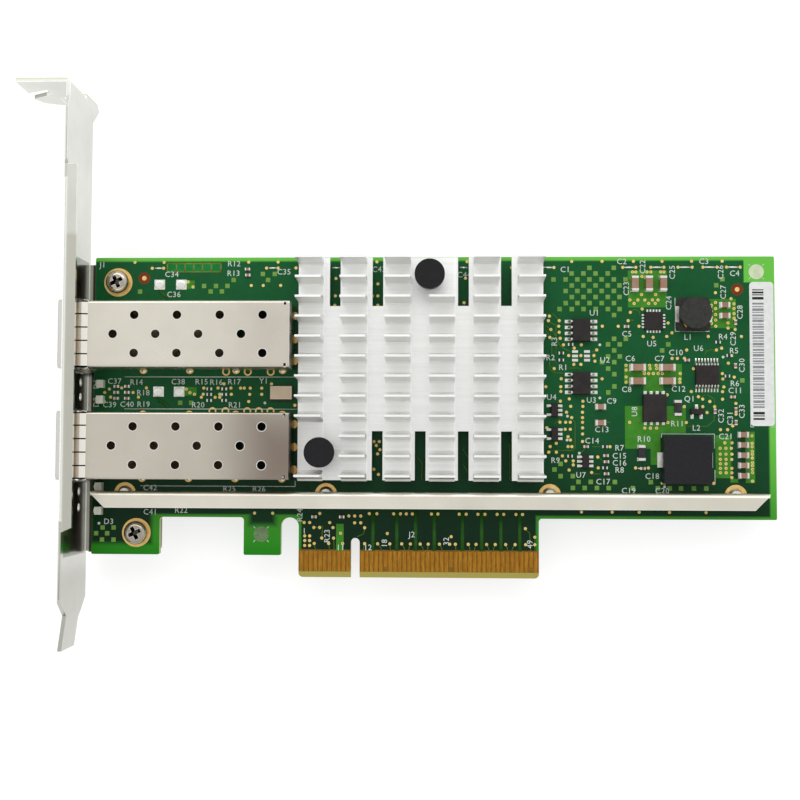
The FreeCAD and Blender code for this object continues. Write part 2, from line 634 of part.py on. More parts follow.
def gold_pads():
    """Plated rings round the screws, the cage legs and the bar's feet, and two round targets."""
    pads = new_body("gold_pads")
    rings = [("upper_screw_x", "upper_screw_y", "screw_pad", "screw_hole"),
             ("lower_screw_x", "lower_screw_y", "screw_pad", "screw_hole")]
    for centre in ("upper_port_y", "lower_port_y"):
        sides, rear = cage_leg_places(centre)
        rings += [(x, y, "leg_pad", "leg_hole") for x, y in sides + rear]
    rings += [(str(x), "foot_row", "foot_pad", "foot_hole") for x in FOOT_PLACES]
    outer = [(x, y, width) for x, y, width, hole in rings]
    inner = [(x, y, hole) for x, y, width, hole in rings]
    targets = [(str(x), str(y), "target_width") for x, y in TARGET_PLACES]
    add(pads, "XY", "board_face", "foil_thickness", *outer, *inner, *targets)
    publish(pads, "gold_pads")


def solder_pads():
    """Tinned lands of parts that are not fitted."""
    lands = [block_at("land", x, y, "board_face", "large_land_length", "large_land_width",
                      "land_thickness") for x, y in LARGE_LANDS]
    lands += [block_at("land", x, y, "board_face", "small_land_length", "small_land_width",
                       "land_thickness") for x, y in SMALL_LANDS]
    group("solder_pads", lands)


# ---------------------------------------------------------------------------- the bracket

def mounting_bracket():
    """One piece of folded steel sheet: hold-down tab, strip, stiffening flange, mounting lip,
    lower tongue, and the punched mouths of the two ports."""
    bracket = new_body("mounting_bracket")
    inner_face = "bracket_face + sheet_thickness"
    near_top = "(strip_near - shoulder_step)"
    below_tab = "strip_top - sheet_thickness"
    # the tab is bent outwards at the top
    add(bracket, "XY", "tab_far", f"{near_top} - tab_far", [
        ("tab_end", "strip_top"), (inner_face, "strip_top"),
        (inner_face, "strip_top - 2 * tab_radius"), ("bracket_face", "strip_top - 2 * tab_radius"),
        ("bracket_face", below_tab), ("tab_end", below_tab),
    ])
    round_edges(bracket, "tab_radius", (0, 0, 1), [(inner_face, "strip_top")])
    # a relief frees the tab's far prong from the strip
    relief_end = "bracket_face - relief_reach"
    cut(bracket, "XZ", below_tab + " - 1", "sheet_thickness + 2", rectangle(
        relief_end, "tab_far - 1", inner_face + " + 1", "bend_far"))
    round_edges(bracket, "relief_radius", (0, 1, 0), [(relief_end, "bend_far")])
    # the hold-down slot runs in from the outer end on a slant, and the prong's tip is clipped
    cut(bracket, "XZ", below_tab + " - 1", "sheet_thickness + 2", [
        ("tab_end - 1", "slot_middle - slot_slant - slot_width / 2"),
        ("slot_end - slot_lead", "slot_middle - slot_width / 2"),
        ("slot_end", "slot_middle"),
        ("slot_end - slot_lead / 3", "slot_middle + slot_width / 2"),
        ("tab_end - 1", "slot_middle - slot_slant + slot_width / 2"),
    ])
    prong_middle = "tab_end + prong_width / 2"
    cut(bracket, "XZ", below_tab + " - 1", "sheet_thickness + 2", [
        ("tab_end - 1", "tab_far + prong_clip"), ("tab_end", "tab_far + prong_clip"),
        ("tab_end + prong_clip / 3", "tab_far + prong_clip / 3"), (prong_middle, "tab_far"),
        (prong_middle, "tab_far - 1"), ("tab_end - 1", "tab_far - 1"),
    ])
    # the strip, with its near corner stepped in at the top and an ear on the far side
    ear = "(strip_far - ear_reach)"
    add(bracket, "YZ", "bracket_face", "sheet_thickness", [
        ("strip_top - tab_radius", near_top), ("strip_top - 2.5 * shoulder_step", near_top),
        ("strip_top - 4.5 * shoulder_step", "strip_near"), ("taper_start", "strip_near"),
        ("tongue_start", "tongue_near"), ("tongue_start", "tongue_far - taper_step"),
        ("tongue_start + 2.5 * taper_step", "strip_far"), ("strip_top - ear_height", "strip_far"),
        ("strip_top - ear_corner", ear), ("strip_top", f"{ear} + ear_corner"),
        ("strip_top", "bend_far"), ("strip_top - tab_radius", "bend_far"),
    ])
    # the stiffening flange along the near edge
    flange_end = "bracket_face + flange_reach"
    add(bracket, "XZ", "flange_bottom", "flange_top - flange_bottom", [
        ("bracket_face", "strip_near - flange_radius"), ("bracket_face", "strip_near"),
        (flange_end, "strip_near"), (flange_end, "strip_near - sheet_thickness"),
        (inner_face, "strip_near - sheet_thickness"), (inner_face, "strip_near - flange_radius"),
    ])
    round_edges(bracket, "flange_radius", (0, 1, 0), [("bracket_face", "strip_near")])
    cut(bracket, "XY", "strip_near - sheet_thickness", "sheet_thickness", [
        (inner_face, "flange_bottom - 1"), (flange_end + " + 1", "flange_bottom - 1"),
        (flange_end + " + 1", "flange_bottom + 1"), (flange_end, "flange_bottom + 1"),
        (inner_face, "flange_bottom"),
    ])
    cut(bracket, "YZ", "bracket_face", "sheet_thickness", [
        ("flange_top", "strip_near + 1"), ("flange_top", "strip_near - flange_radius"),
        ("flange_top + shoulder_step", "strip_near"), ("flange_top + shoulder_step", "strip_near + 1"),
    ])
    # the mounting lip along the far edge, its two ears and the bosses that meet the board
    lip_face = "strip_far + sheet_thickness"
    lip_end = "bracket_face + lip_reach"
    add(bracket, "XZ", "lip_bottom", "lip_top - lip_bottom", [
        ("bracket_face", "strip_far"), (lip_end, "strip_far"), (lip_end, lip_face),
        (inner_face, lip_face), (inner_face, "strip_far + lip_radius"),
        ("bracket_face", "strip_far + lip_radius"),
    ])
    round_edges(bracket, "lip_radius", (0, 1, 0), [("bracket_face", "strip_far")])
    for x, y in (("upper_screw_x", "upper_screw_y"), ("lower_screw_x", "lower_screw_y")):
        top = f"{y} + ear_width / 2"
        foot = f"{y} - ear_width / 2"
        tip = f"{x} + ear_width / 2"
        add(bracket, "XY", "strip_far", "sheet_thickness",
            rectangle("bracket_face + lip_radius", foot, tip, top))
        round_edges(bracket, "ear_radius", (0, 0, 1), [(tip, foot), (tip, top)])
        boss = "-board_face - strip_far"
        add(bracket, "XY", "strip_far", boss, (x, y, "boss_width"))
        cut(bracket, "XY", "strip_far", boss, (x, y, "screw_thread"))
    # the punched mouths of the ports and the windows of the status lights
    for centre in ("upper_port_y", "lower_port_y"):
        mouth = "cage_width + 2 * mouth_gap"
        cut(bracket, "YZ", "bracket_face", "sheet_thickness", centred(
            centre, "(cage_top + cage_bottom) / 2", mouth, "cage_top - cage_bottom + 2 * mouth_gap"))
    cut(bracket, "YZ", "bracket_face", "sheet_thickness",
        *[(str(y), "light_height", "light_hole") for y in LIGHT_WINDOWS])
    # the lower tongue leans outwards
    tongue_side = "(tongue_far - taper_step)"
    add(bracket, "XY", tongue_side, f"tongue_near - {tongue_side}", [
        ("bracket_face", "tongue_start + sheet_thickness"), (inner_face, "tongue_start + sheet_thickness"),
        (inner_face, "tongue_start"), (inner_face + " - tongue_lean", "strip_bottom"),
        ("bracket_face - tongue_lean", "strip_bottom"), ("bracket_face", "tongue_start"),
    ])
    cut(bracket, "YZ", "bracket_face - 3", "5", [
        ("tongue_start", "tongue_far - 2 * taper_step"), ("tongue_start", tongue_side),
        ("tongue_start - taper_step", "tongue_far"), ("strip_bottom - 1", "tongue_far"),
        ("strip_bottom - 1", "tongue_far - 2 * taper_step"),
    ])
    publish(bracket, "mounting_bracket")


def recess_wing(x, y, turn):
    """One wing of a cross recess, narrowing from the top of the head to the recess's floor."""
    wing = doc.addObject("Part::Wedge", "recess")
    side = "(recess_width - recess_point) / 2"
    for prop, text in (("Xmin", side), ("Xmax", f"recess_width - {side}"), ("X2min", "0"),
                       ("X2max", "recess_width"), ("Ymin", "0"), ("Ymax", "recess_depth + 0.1"),
                       ("Zmin", "recess_wing / 4"), ("Zmax", "3 * recess_wing / 4"), ("Z2min", "0"),
                       ("Z2max", "recess_wing")):
        bind(wing, prop, text)
    stood = FreeCAD.Rotation(FreeCAD.Vector(1, 0, 0), 90)
    turned = FreeCAD.Rotation(FreeCAD.Vector(0, 0, 1), turn)
    centre = FreeCAD.Vector(value("recess_width / 2"), -value("recess_wing / 2"), 0)
    floor = value("board_face + foil_thickness + screw_head_height - recess_depth")
    place = FreeCAD.Vector(value(x), value(y), floor)
    wing.Placement = FreeCAD.Placement(place - turned.multVec(centre), turned * stood)
    return wing


def bracket_screws():
    """Pan-head machine screws with a cross recess, down through the board into the bosses."""
    screws = []
    seat = "board_face + foil_thickness"
    for x, y in (("upper_screw_x", "upper_screw_y"), ("lower_screw_x", "lower_screw_y")):
        head = rod("head", x, y, seat, "screw_head", "screw_head_height")
        shank = rod("shank", x, y, "screw_tip", "screw_shank", f"{seat} - screw_tip")
        solid = doc.addObject("Part::MultiFuse", "screw_solid")
        solid.Shapes = [head, shank]
        dome = doc.addObject("Part::Fillet", "screw_dome")
        dome.Base = solid
        doc.recompute()
        top = max(solid.Shape.Edges, key=lambda edge: (edge.CenterOfMass.z, edge.Length))
        rim = [number for number, edge in enumerate(solid.Shape.Edges, start=1) if edge.isSame(top)]
        dome.Edges = [(rim[0], value("screw_dome"), value("screw_dome"))]
        cross = doc.addObject("Part::MultiFuse", "recess_cross")
        cross.Shapes = [recess_wing(x, y, turn) for turn in (25, 115)]
        screws.append(taken_from("screw", dome, cross))
    group("bracket_screws", screws)


# ---------------------------------------------------------------------------- the ports

def cage_cover(name, centre):
    """Stamped and folded cage: roof, two sides, rear wall, vents, and legs pressed into the board."""
    cover = new_body(name)
    half = "cage_width / 2"
    inner = "(cage_width / 2 - cage_sheet)"
    roof = "cage_top - cage_sheet"
    add(cover, "YZ", "cage_front", "cage_back - cage_front", [
        (f"{centre} - {half}", "cage_bottom"), (f"{centre} - {half}", "cage_top"),
        (f"{centre} + {half}", "cage_top"), (f"{centre} + {half}", "cage_bottom"),
        (f"{centre} + {inner}", "cage_bottom"), (f"{centre} + {inner}", roof),
        (f"{centre} - {inner}", roof), (f"{centre} - {inner}", "cage_bottom"),
    ])
    round_edges(cover, "cage_corner", (1, 0, 0), [(f"{centre} {sign} {half}", "cage_top") for sign in "-+"])
    add(cover, "YZ", "cage_back - cage_sheet", "cage_sheet", rectangle(
        f"{centre} - {inner}", "cage_bottom", f"{centre} + {inner}", roof + " + cage_lap"))
    vents = []
    for row, start in ((1, "outer_vents"), (0, "middle_vents"), (-1, "outer_vents")):
        vents += [(f"{start} + {step} * vent_pitch", f"{centre} + {row} * vent_row", "vent_size")
                  for step in range(4)]
    cut(cover, "XY", roof, "cage_sheet", *vents)
    cut(cover, "XY", roof, "cage_sheet", *[
        centred("cage_back - corner_notch_back", f"{centre} {sign} ({half} - corner_notch_edge)",
                "corner_notch_length", "corner_notch_width") for sign in "-+"])
    sides, rear = cage_leg_places(centre)
    legs = [centred(x, y, "leg_width", "cage_sheet") for x, y in sides]
    legs += [centred(x, y, "cage_sheet", "leg_width") for x, y in rear]
    add(cover, "XY", "cage_bottom + leg_root - leg_length", "leg_length", *legs)
    publish(cover, name)


def cage_floor(name, centre):
    """Floor plate of the cage, clipped between the side walls ahead of the connector."""
    inside = "cage_width - 2 * cage_sheet"
    plate = block(name + "_plate", "cage_front", f"{centre} - ({inside}) / 2", "cage_bottom",
                  "connector_front - floor_gap - cage_front", inside, "cage_sheet")
    publish(plate, name)


def spring_collar(name, centre):
    """Beryllium-copper collar: a band round the cage's mouth with bowed fingers to the bracket."""
    collar = new_body(name)
    half = "(cage_width / 2)"
    band = "collar_sheet"

    def bowed(wall, outward):
        """A finger seen edge on: it rises from the wall to the bracket and comes down again."""
        rise = [("collar_front", "0"), ("bow_start", "bow_foot"), ("bow_crest", "bow_rise"),
                ("bow_fall", "bow_rise"), ("collar_end", "0")]
        outside = [(x, f"{wall} {outward} ({band} + {height})") for x, height in rise]
        inside = [(x, f"{wall} {outward} {height}") for x, height in reversed(rise)]
        return outside + inside

    add(collar, "XZ", f"{centre} - {half} + finger_margin", "cage_width - 2 * finger_margin",
        bowed("cage_top", "+"))
    cut(collar, "XY", "cage_top", "2 * bow_rise", *[
        centred("slit_middle", f"{centre} + ({step}) * slit_pitch", "slit_length", "slit_width")
        for step in (-1.5, -0.5, 0.5, 1.5)])
    for side in "-+":
        add(collar, "XY", "cage_bottom + side_margin", "cage_top - cage_bottom - 2 * side_margin",
            bowed(f"{centre} {side} {half}", side))
    cut(collar, "XZ", f"{centre} - {half} - 1", "cage_width + 2", *[
        centred("slit_middle", f"cage_bottom + {level}", "slit_length", "slit_width")
        for level in ("low_slit", "high_slit")])
    # the hoop at the mouth joins the roof fingers to the side fingers
    wide = f"({half} + {band})"
    add(collar, "YZ", "collar_front", "collar_hoop", [
        (f"{centre} - {wide}", "cage_bottom"), (f"{centre} - {wide}", f"cage_top + {band}"),
        (f"{centre} + {wide}", f"cage_top + {band}"), (f"{centre} + {wide}", "cage_bottom"),
        (f"{centre} + {half}", "cage_bottom"), (f"{centre} + {half}", "cage_top"),
        (f"{centre} - {half}", "cage_top"), (f"{centre} - {half}", "cage_bottom"),
    ])
    add(collar, "XY", f"cage_bottom - {band}", band, rectangle(
        "collar_front", f"{centre} - {wide}", "collar_front + band_length", f"{centre} + {wide}"))
    publish(collar, name)


def connector_housing(name, centre):
    """Moulded host connector at the back of the cage, with the slot for a module's edge card."""
    housing = new_body(name)
    half = "connector_width / 2"
    add(housing, "XY", "board_face", "connector_height", rectangle(
        "connector_front", f"{centre} - {half}", "connector_back", f"{centre} + {half}"))
    slot = "board_face + card_slot_bottom"
    cut(housing, "YZ", "connector_front", "card_slot_depth", rectangle(
        f"{centre} - card_slot_width / 2", slot,
        f"{centre} + card_slot_width / 2", f"{slot} + card_slot_height"))
    roof = "board_face + connector_height"
    cut(housing, "XZ", f"{centre} - {half}", "connector_width", [
        ("connector_front", roof), ("connector_front + connector_lead_in", roof),
        ("connector_front", f"{roof} - connector_lead_in")])
    publish(housing, name)


def connector_contacts(name, centre):
    """Two rows of ten sprung contacts, one above and one below the slot, soldered behind."""
    contacts = new_body(name)
    first = f"{centre} - (connector_contact_count - 1) / 2 * connector_pitch"
    near = f"{first} - spring_contact_width / 2"
    far = f"{first} + spring_contact_width / 2"
    start = "connector_front + spring_contact_start"
    slot = "board_face + card_slot_bottom"
    runs = [(slot, start, start + " + spring_contact_length"),
            (f"{slot} + card_slot_height - spring_contact_sheet", start, start + " + spring_contact_length"),
            ("board_face", "connector_back", "connector_back + contact_tail")]
    for level, left, right in runs:
        contact = add(contacts, "XY", level, "spring_contact_sheet", rectangle(left, near, right, far))
        repeat(contacts, contact, "V_Axis", "connector_pitch", "connector_contact_count")
    publish(contacts, name)


def port(number, centre):
    cage_cover(f"port_{number}_cage_cover", centre)
    cage_floor(f"port_{number}_cage_floor", centre)
    spring_collar(f"port_{number}_spring_collar", centre)
    connector_housing(f"port_{number}_connector_housing", centre)
    connector_contacts(f"port_{number}_connector_contacts", centre)


# ---------------------------------------------------------------------------- cooling

def heat_sink():
    """Extruded aluminium: twelve tapered fins run along X, sawn across into columns, with slots
    milled into both long edges of the base and clearings for the two push pins."""
    sink = new_body("heat_sink")
    sink_width = "sink_right - sink_left"
    fin_height = "fin_tip - sink_floor"
    add(sink, "XY", "sink_underside", "sink_floor - sink_underside",
        rectangle("sink_left", "sink_bottom", "sink_right", "sink_top"))
    flank = [("fin_root_width / 2", "sink_floor"), ("fin_knee_width / 2", "sink_floor + fin_knee"),
             ("fin_waist_width / 2", "sink_floor + fin_waist"), ("fin_tip_width / 2", "fin_tip")]
    left_flank = [(f"first_fin - {reach}", level) for reach, level in flank]
    right_flank = [(f"first_fin + {reach}", level) for reach, level in reversed(flank)]
    fin = add(sink, "YZ", "sink_left", sink_width, left_flank + right_flank)
    repeat(sink, fin, "H_Axis", "fin_pitch", "fin_count")
    saw = cut(sink, "XY", "sink_floor", fin_height, rectangle(
        "sink_left + column_width", "sink_bottom - 1", "sink_left + column_pitch", "sink_top + 1"))
    repeat(sink, saw, "H_Axis", "column_pitch", "saw_count")
    slots = []
    for step in (0, 1, 3, 4):
        centre = f"edge_slot_first + {step} * edge_slot_pitch"
        slots.append(rectangle(f"{centre} - edge_slot_width / 2", "sink_top - edge_slot_depth",
                               f"{centre} + edge_slot_width / 2", "sink_top + 1"))
    for step in (1, 2, 3, 4):
        centre = f"edge_slot_first + {step} * edge_slot_pitch"
        slots.append(rectangle(f"{centre} - edge_slot_width / 2", "sink_bottom - 1",
                               f"{centre} + edge_slot_width / 2", "sink_bottom + edge_slot_depth"))
    cut(sink, "XY", "sink_underside - 1", "sink_floor - sink_underside + 2", *slots)
    upper_column = "sink_left + 3 * column_pitch"
    cut(sink, "XY", "sink_floor", fin_height,
        rectangle(f"{upper_column} - pin_clearing", "first_fin + 9.5 * fin_pitch",
                  f"{upper_column} + column_width + pin_clearing", "sink_top + pin_clearing"),
        rectangle("sink_left - pin_clearing", "first_fin + 0.5 * fin_pitch",
                  "sink_left + column_width + pin_clearing", "first_fin + 2.5 * fin_pitch"))
    cut(sink, "XY", "sink_underside - 1", "sink_floor - sink_underside + 2",
        ("upper_pin_x", "upper_pin_y", "pin_hole + pin_room"),
        ("lower_pin_x", "lower_pin_y", "pin_hole + pin_room"))
    publish(sink, "heat_sink")


def push_pin(name, x, y):
    """Nylon push pin: round head, split shank and snap barbs that catch under the board."""
    pin = new_body(name)
    add(pin, "XY", "head_top - head_height", "head_height", (x, y, "pin_head"))
    barb_top = "(-board_face - barb_gap)"
    barb_bottom = "(-board_face - barb_gap - barb_height)"
    add(pin, "XY", barb_top, f"head_top - head_height - {barb_top}", (x, y, "pin_shank"))
    add(pin, "XY", barb_bottom, "barb_height", (x, y, "pin_barb"))
    add(pin, "XY", "pin_end", f"{barb_bottom} - pin_end", (x, y, "pin_shank"))
    cut(pin, "XY", "pin_end", "pin_split_height", centred(x, y, "pin_split", "pin_barb + 1"))
    publish(pin, name)


def push_pin_spring(name, x, y):
    """Steel compression spring between the pin's head and the heat sink's base."""
    spring_bottom = value("sink_floor + spring_wire / 2 + spring_gap")
    spring_height = value("head_top - head_height - sink_floor - spring_wire - 2 * spring_gap")
    turns = value("spring_turns")
    coil = Part.makeHelix(spring_height / turns, spring_height, value("spring_width") / 2)
    start = coil.Edges[0].Vertexes[0].Point
    tangent = coil.Edges[0].tangentAt(coil.Edges[0].FirstParameter)
    section = Part.Wire(Part.makeCircle(value("spring_wire") / 2, start, tangent))
    wire = Part.Wire(coil.Edges).makePipeShell([section], True, True)
    feature = doc.addObject("Part::Feature", name + "_coil")
    feature.Shape = wire
    seat = FreeCAD.Vector(value(x), value(y), spring_bottom)
    feature.Placement = FreeCAD.Placement(seat, FreeCAD.Rotation())
    publish(feature, name)


def controller():
    """The controller under the heat sink: laminate substrate, metal lid, soft thermal pad, and
    the decoupling chips behind it on the solder side."""
    substrate = block_at("substrate", "controller_x", "controller_y", "board_face",
                         "controller_size", "controller_size", "substrate_top - board_face")
    publish(substrate, "controller_substrate")
    lid = block_at("lid", "controller_x", "controller_y", "substrate_top",
                   "lid_size", "lid_size", "lid_top - substrate_top")
    publish(lid, "controller_lid")
    pad = block_at("pad", "controller_x", "controller_y", "lid_top",
                   "lid_size - 1", "lid_size - 1", "sink_underside - lid_top")
    publish(pad, "thermal_pad")
    decoupling = [block_at("decoupling", f"controller_x + {column} * hidden_pitch",
                           f"controller_y + {line} * hidden_pitch", "-board_face - hidden_chip / 2",
                           "hidden_chip", "hidden_chip / 2", "hidden_chip / 2")
                  for column in (-1.5, -0.5, 0.5, 1.5) for line in (-1.5, -0.5, 0.5, 1.5)]
    group("solder_side_capacitors", decoupling)


# ---------------------------------------------------------------------------- the stiffener bar

def stiffener_bar():
    """Folded steel bar: an upright wall on four feet and a flange with mitred corners."""
    bar = new_body("stiffener_bar")
    wall_face = "bar_back - bar_sheet"
    flange_face = "bar_top - bar_sheet"
    bottom = "board_face + bar_clearance"
    add(bar, "YZ", "bar_left", "bar_right - bar_left", [
        ("bar_back", bottom), ("bar_back", "bar_top"), ("bar_front", "bar_top"),
        ("bar_front", flange_face), (wall_face, flange_face), (wall_face, bottom),
    ])
    round_edges(bar, "bar_radius", (1, 0, 0), [("bar_back", "bar_top")])
    round_edges(bar, "bar_radius - bar_sheet", (1, 0, 0), [(wall_face, flange_face)])
    for end, along in (("bar_left", "+"), ("bar_right", "-")):
        cut(bar, "XY", flange_face, "bar_sheet", [
            (end, "bar_front"), (f"{end} {along} bar_mitre", "bar_front"),
            (end, "bar_front + bar_mitre")])
    add(bar, "XY", "board_face - bar_foot_length", "bar_foot_length + bar_clearance",
        *[centred(str(x), "bar_back - bar_sheet / 2", "foot_width", "bar_sheet") for x in FOOT_PLACES])
    publish(bar, "stiffener_bar")


def stiffener_solder():
    """A cone of solder round each foot of the bar."""
    fillets = []
    wall_middle = "bar_back - bar_sheet / 2"
    for x in FOOT_PLACES:
        cone = doc.addObject("Part::Cone", "solder_cone")
        bind(cone, "Radius1", "solder_width / 2")
        bind(cone, "Radius2", "solder_width / 2 - solder_slope")
        bind(cone, "Height", "solder_height")
        bind(cone, "Placement.Base.x", str(x))
        bind(cone, "Placement.Base.y", "foot_row")
        bind(cone, "Placement.Base.z", "board_face + foil_thickness")
        foot = block_at("foot_room", x, wall_middle, "board_face",
                        "foot_width", "bar_sheet", "bar_clearance")
        fillets.append(taken_from("solder_fillet", cone, foot))
    group("stiffener_solder", fillets)


# ---------------------------------------------------------------------------- packages

def moulded(kind, x, y, turned=False):
    """A moulded body whose sides lean in towards its top. Turned, its lead rows lie in Y."""
    across, along = f"{kind}_width", f"{kind}_length"
    length, width = (along, across) if turned else (across, along)
    body = doc.addObject("Part::Wedge", kind)
    for prop, text in (("Xmin", "0"), ("Xmax", length), ("Zmin", "0"), ("Zmax", width),
                       ("Ymin", "0"), ("Ymax", f"{kind}_height"),
                       ("X2min", "mould_draft"), ("X2max", f"{length} - mould_draft"),
                       ("Z2min", "mould_draft"), ("Z2max", f"{width} - mould_draft")):
        bind(body, prop, text)
    body.Placement = FreeCAD.Placement(FreeCAD.Vector(), FreeCAD.Rotation(FreeCAD.Vector(1, 0, 0), 90))
    bind(body, "Placement.Base.x", f"{x} - ({length}) / 2")
    bind(body, "Placement.Base.y", f"{y} + ({width}) / 2")
    bind(body, "Placement.Base.z", "board_face + mould_lift")
    return body


def lead_row(kind, x, y, turn, pitch, lead_width, count):
    """A row of gull-wing leads that leave one side of a package, drop, and lie on the board."""
    row = new_body(kind + "_lead")
    side = f"({kind}_width - mould_draft) / 2"
    knee = f"mould_lift + {kind}_height / 2"
    tip = f"{kind}_span / 2"
    lead = add(row, "XZ", f"-(({count} - 1) * {pitch} + {lead_width}) / 2", lead_width, [
        (side, knee), (f"{side} + lead_step", knee), (f"{tip} - lead_foot", "0"), (tip, "0"),
        (tip, "lead_sheet"), (f"{tip} - lead_foot + lead_sheet", "lead_sheet"),
        (f"{side} + lead_step + lead_sheet", f"{knee} + lead_sheet"), (side, f"{knee} + lead_sheet"),
    ])
    if count > 1:
        pattern = repeat(row, lead, "N_Axis", pitch, str(count))
        pattern.Reversed = True
    row.Placement = FreeCAD.Placement(FreeCAD.Vector(), FreeCAD.Rotation(FreeCAD.Vector(0, 0, 1), turn))
    bind(row, "Placement.Base.x", str(x))
    bind(row, "Placement.Base.y", str(y))
    bind(row, "Placement.Base.z", "board_face")
    return row


def memory_chips():
    """Two eight-lead small-outline memories, one above the other."""
    places = [(48.25, 53.0), (48.25, 41.6)]
    group("memory_chip_bodies", [moulded("memory", x, y) for x, y in places])
    group("memory_chip_leads", [lead_row("memory", x, y, turn, "memory_pitch", "memory_lead", 4)
                                for x, y in places for turn in (0, 180)])


def clock_chip():
    """A flat leadless package on a frame of short pads."""
    x, y = 63.7, 55.0
    publish(moulded("clock", x, y), "clock_chip_body")
    reach = "(clock_width + clock_pad) / 2"
    pads = []
    for step in (-2, -1, 0, 1, 2):
        shift = f"{step} * buffer_pitch"
        for side in "-+":
            pads.append(block_at("pad", f"{x} + {shift}", f"{y} {side} {reach}", "board_face",
                                 "clock_land", "clock_pad", "land_thickness"))
            pads.append(block_at("pad", f"{x} {side} {reach}", f"{y} + {shift}", "board_face",
                                 "clock_pad", "clock_land", "land_thickness"))
    group("clock_chip_pads", pads)


def buffer_chip():
    """A sixteen-lead thin package with its leads above and below."""
    x, y = 74.9, 43.4
    publish(moulded("buffer", x, y, turned=True), "buffer_chip_body")
    group("buffer_chip_leads",
          [lead_row("buffer", x, y, turn, "buffer_pitch", "buffer_lead", 8) for turn in (90, 270)])


def power_transistor():
    """The converter's switch: a flat leadless package with four terminals above and four below."""
    x, y = 63.75, 36.35
    publish(moulded("switch", x, y, turned=True), "power_transistor_body")
    reach = "(switch_width + switch_tab) / 2"
    group("power_transistor_leads", [
        block_at("terminal", f"{x} + ({step}) * memory_pitch", f"{y} {side} {reach}", "board_face",
                 "switch_terminal", "switch_tab", "switch_sheet")
        for step in (-1.5, -0.5, 0.5, 1.5) for side in "-+"])


def regulators():
    """Three small regulators beside the heat sink, two with five leads and one with six."""
    places = [(42.5, 35.85, 2), (42.5, 30.75, 2), (49.05, 24.95, 3)]
    leads = []
    for x, y, left_leads in places:
        leads.append(lead_row("regulator", x, y, 0, "regulator_pitch", "regulator_lead", 3))
        left_pitch = "regulator_pitch" if left_leads == 3 else "2 * regulator_pitch"
        leads.append(lead_row("regulator", x, y, 180, left_pitch, "regulator_lead", left_leads))
    group("regulator_bodies", [moulded("regulator", x, y) for x, y, left_leads in places])
    group("regulator_leads", leads)


def small_transistor():
    """A three-lead transistor, one lead above and two below."""
    x, y = 72.7, 35.6
    publish(moulded("transistor", x, y, turned=True), "small_transistor_body")
    above = lead_row("transistor", x, y, 90, "regulator_pitch", "regulator_lead", 1)
    below = lead_row("transistor", x, y, 270, "2 * regulator_pitch", "regulator_lead", 2)
    group("small_transistor_leads", [above, below])


def chips(kind, places):
    """Two-terminal chips: a ceramic block between two soldered metal ends."""
    bodies = []
    ends = []
    end = f"{kind}_end"
    core = f"{kind}_length - 2 * {end}"
    width = f"{kind}_width"
    height = f"{kind}_height"
    shift = f"({kind}_length - {end}) / 2"
    for x, y, way in places:
        upright = way == "up"
        core_size = (width, core) if upright else (core, width)
        bodies.append(block_at("chip", x, y, "board_face + end_wrap", *core_size, height))
        for side in "-+":
            end_x = x if upright else f"{x} {side} {shift}"
            end_y = f"{y} {side} {shift}" if upright else y
            wrap = f"{width} + 2 * end_wrap"
            end_size = (wrap, end) if upright else (end, wrap)
            ends.append(block_at("end", end_x, end_y, "board_face", *end_size, f"{height} + 2 * end_wrap"))
    group(kind + "_bodies", bodies)
    group(kind + "_ends", ends)


# ---------------------------------------------------------------------------- coils, crystal, lights

def corners(x, y, side):
    return [(f"{x} {a} ({side}) / 2", f"{y} {b} ({side}) / 2") for a in "-+" for b in "-+"]


def round_inductor():
    """A wound drum under a round ferrite cap, on a square base with two flat terminals."""
    base = new_body("round_base")
    add(base, "XY", "board_face + drum_lift", "drum_base_height",
        centred("drum_x", "drum_y", "drum_base", "drum_base"))
    round_edges(base, "drum_corner", (0, 0, 1), corners("drum_x", "drum_y", "drum_base"))
    publish(base, "round_inductor_base")
    core = new_body("round_core")
    base_top = "board_face + drum_lift + drum_base_height"
    add(core, "XY", base_top, "drum_height", ("drum_x", "drum_y", "drum_waist"))
    add(core, "XY", base_top + " + drum_height", "drum_cap_height", ("drum_x", "drum_y", "drum_cap"))
    publish(core, "round_inductor_core")
    terminals = new_body("round_terminals")
    top = f"{base_top} + drum_clip"
    for side, back in (("-", "+"), ("+", "-")):
        edge = f"drum_x {side} drum_base / 2"
        outside = f"{edge} {side} drum_strap"
        add(terminals, "XZ", "drum_y - drum_terminal / 2", "drum_terminal", [
            (f"{edge} {back} drum_toe", "board_face"), (outside, "board_face"), (outside, top),
            (f"{edge} {back} drum_lap", top), (f"{edge} {back} drum_lap", base_top), (edge, base_top),
            (edge, "board_face + drum_lift"), (f"{edge} {back} drum_toe", "board_face + drum_lift"),
        ])
    publish(terminals, "round_inductor_terminals")


def square_inductor():
    """A moulded power inductor, ten millimetres square, on two wrapped terminals."""
    body = new_body("square_coil")
    add(body, "XY", "board_face + coil_foot", "coil_height",
        centred("coil_x", "coil_y", "coil_side", "coil_side"))
    round_edges(body, "coil_corner", (0, 0, 1), corners("coil_x", "coil_y", "coil_side"))
    publish(body, "square_inductor_body")
    terminals = new_body("square_coil_terminals")
    for side, back in (("-", "+"), ("+", "-")):
        edge = f"coil_x {side} coil_side / 2"
        strap = f"{edge} {side} coil_strap"
        toe = f"{edge} {side} coil_toe"
        heel = f"{edge} {back} coil_heel"
        add(terminals, "XZ", "coil_y - coil_terminal / 2", "coil_terminal", [
            (heel, "board_face"), (toe, "board_face"), (toe, "board_face + coil_toe_height"),
            (strap, "board_face + coil_toe_height"), (strap, "board_face + coil_strap_height"),
            (edge, "board_face + coil_strap_height"), (edge, "board_face + coil_foot"),
            (heel, "board_face + coil_foot"),
        ])
    publish(terminals, "square_inductor_terminals")


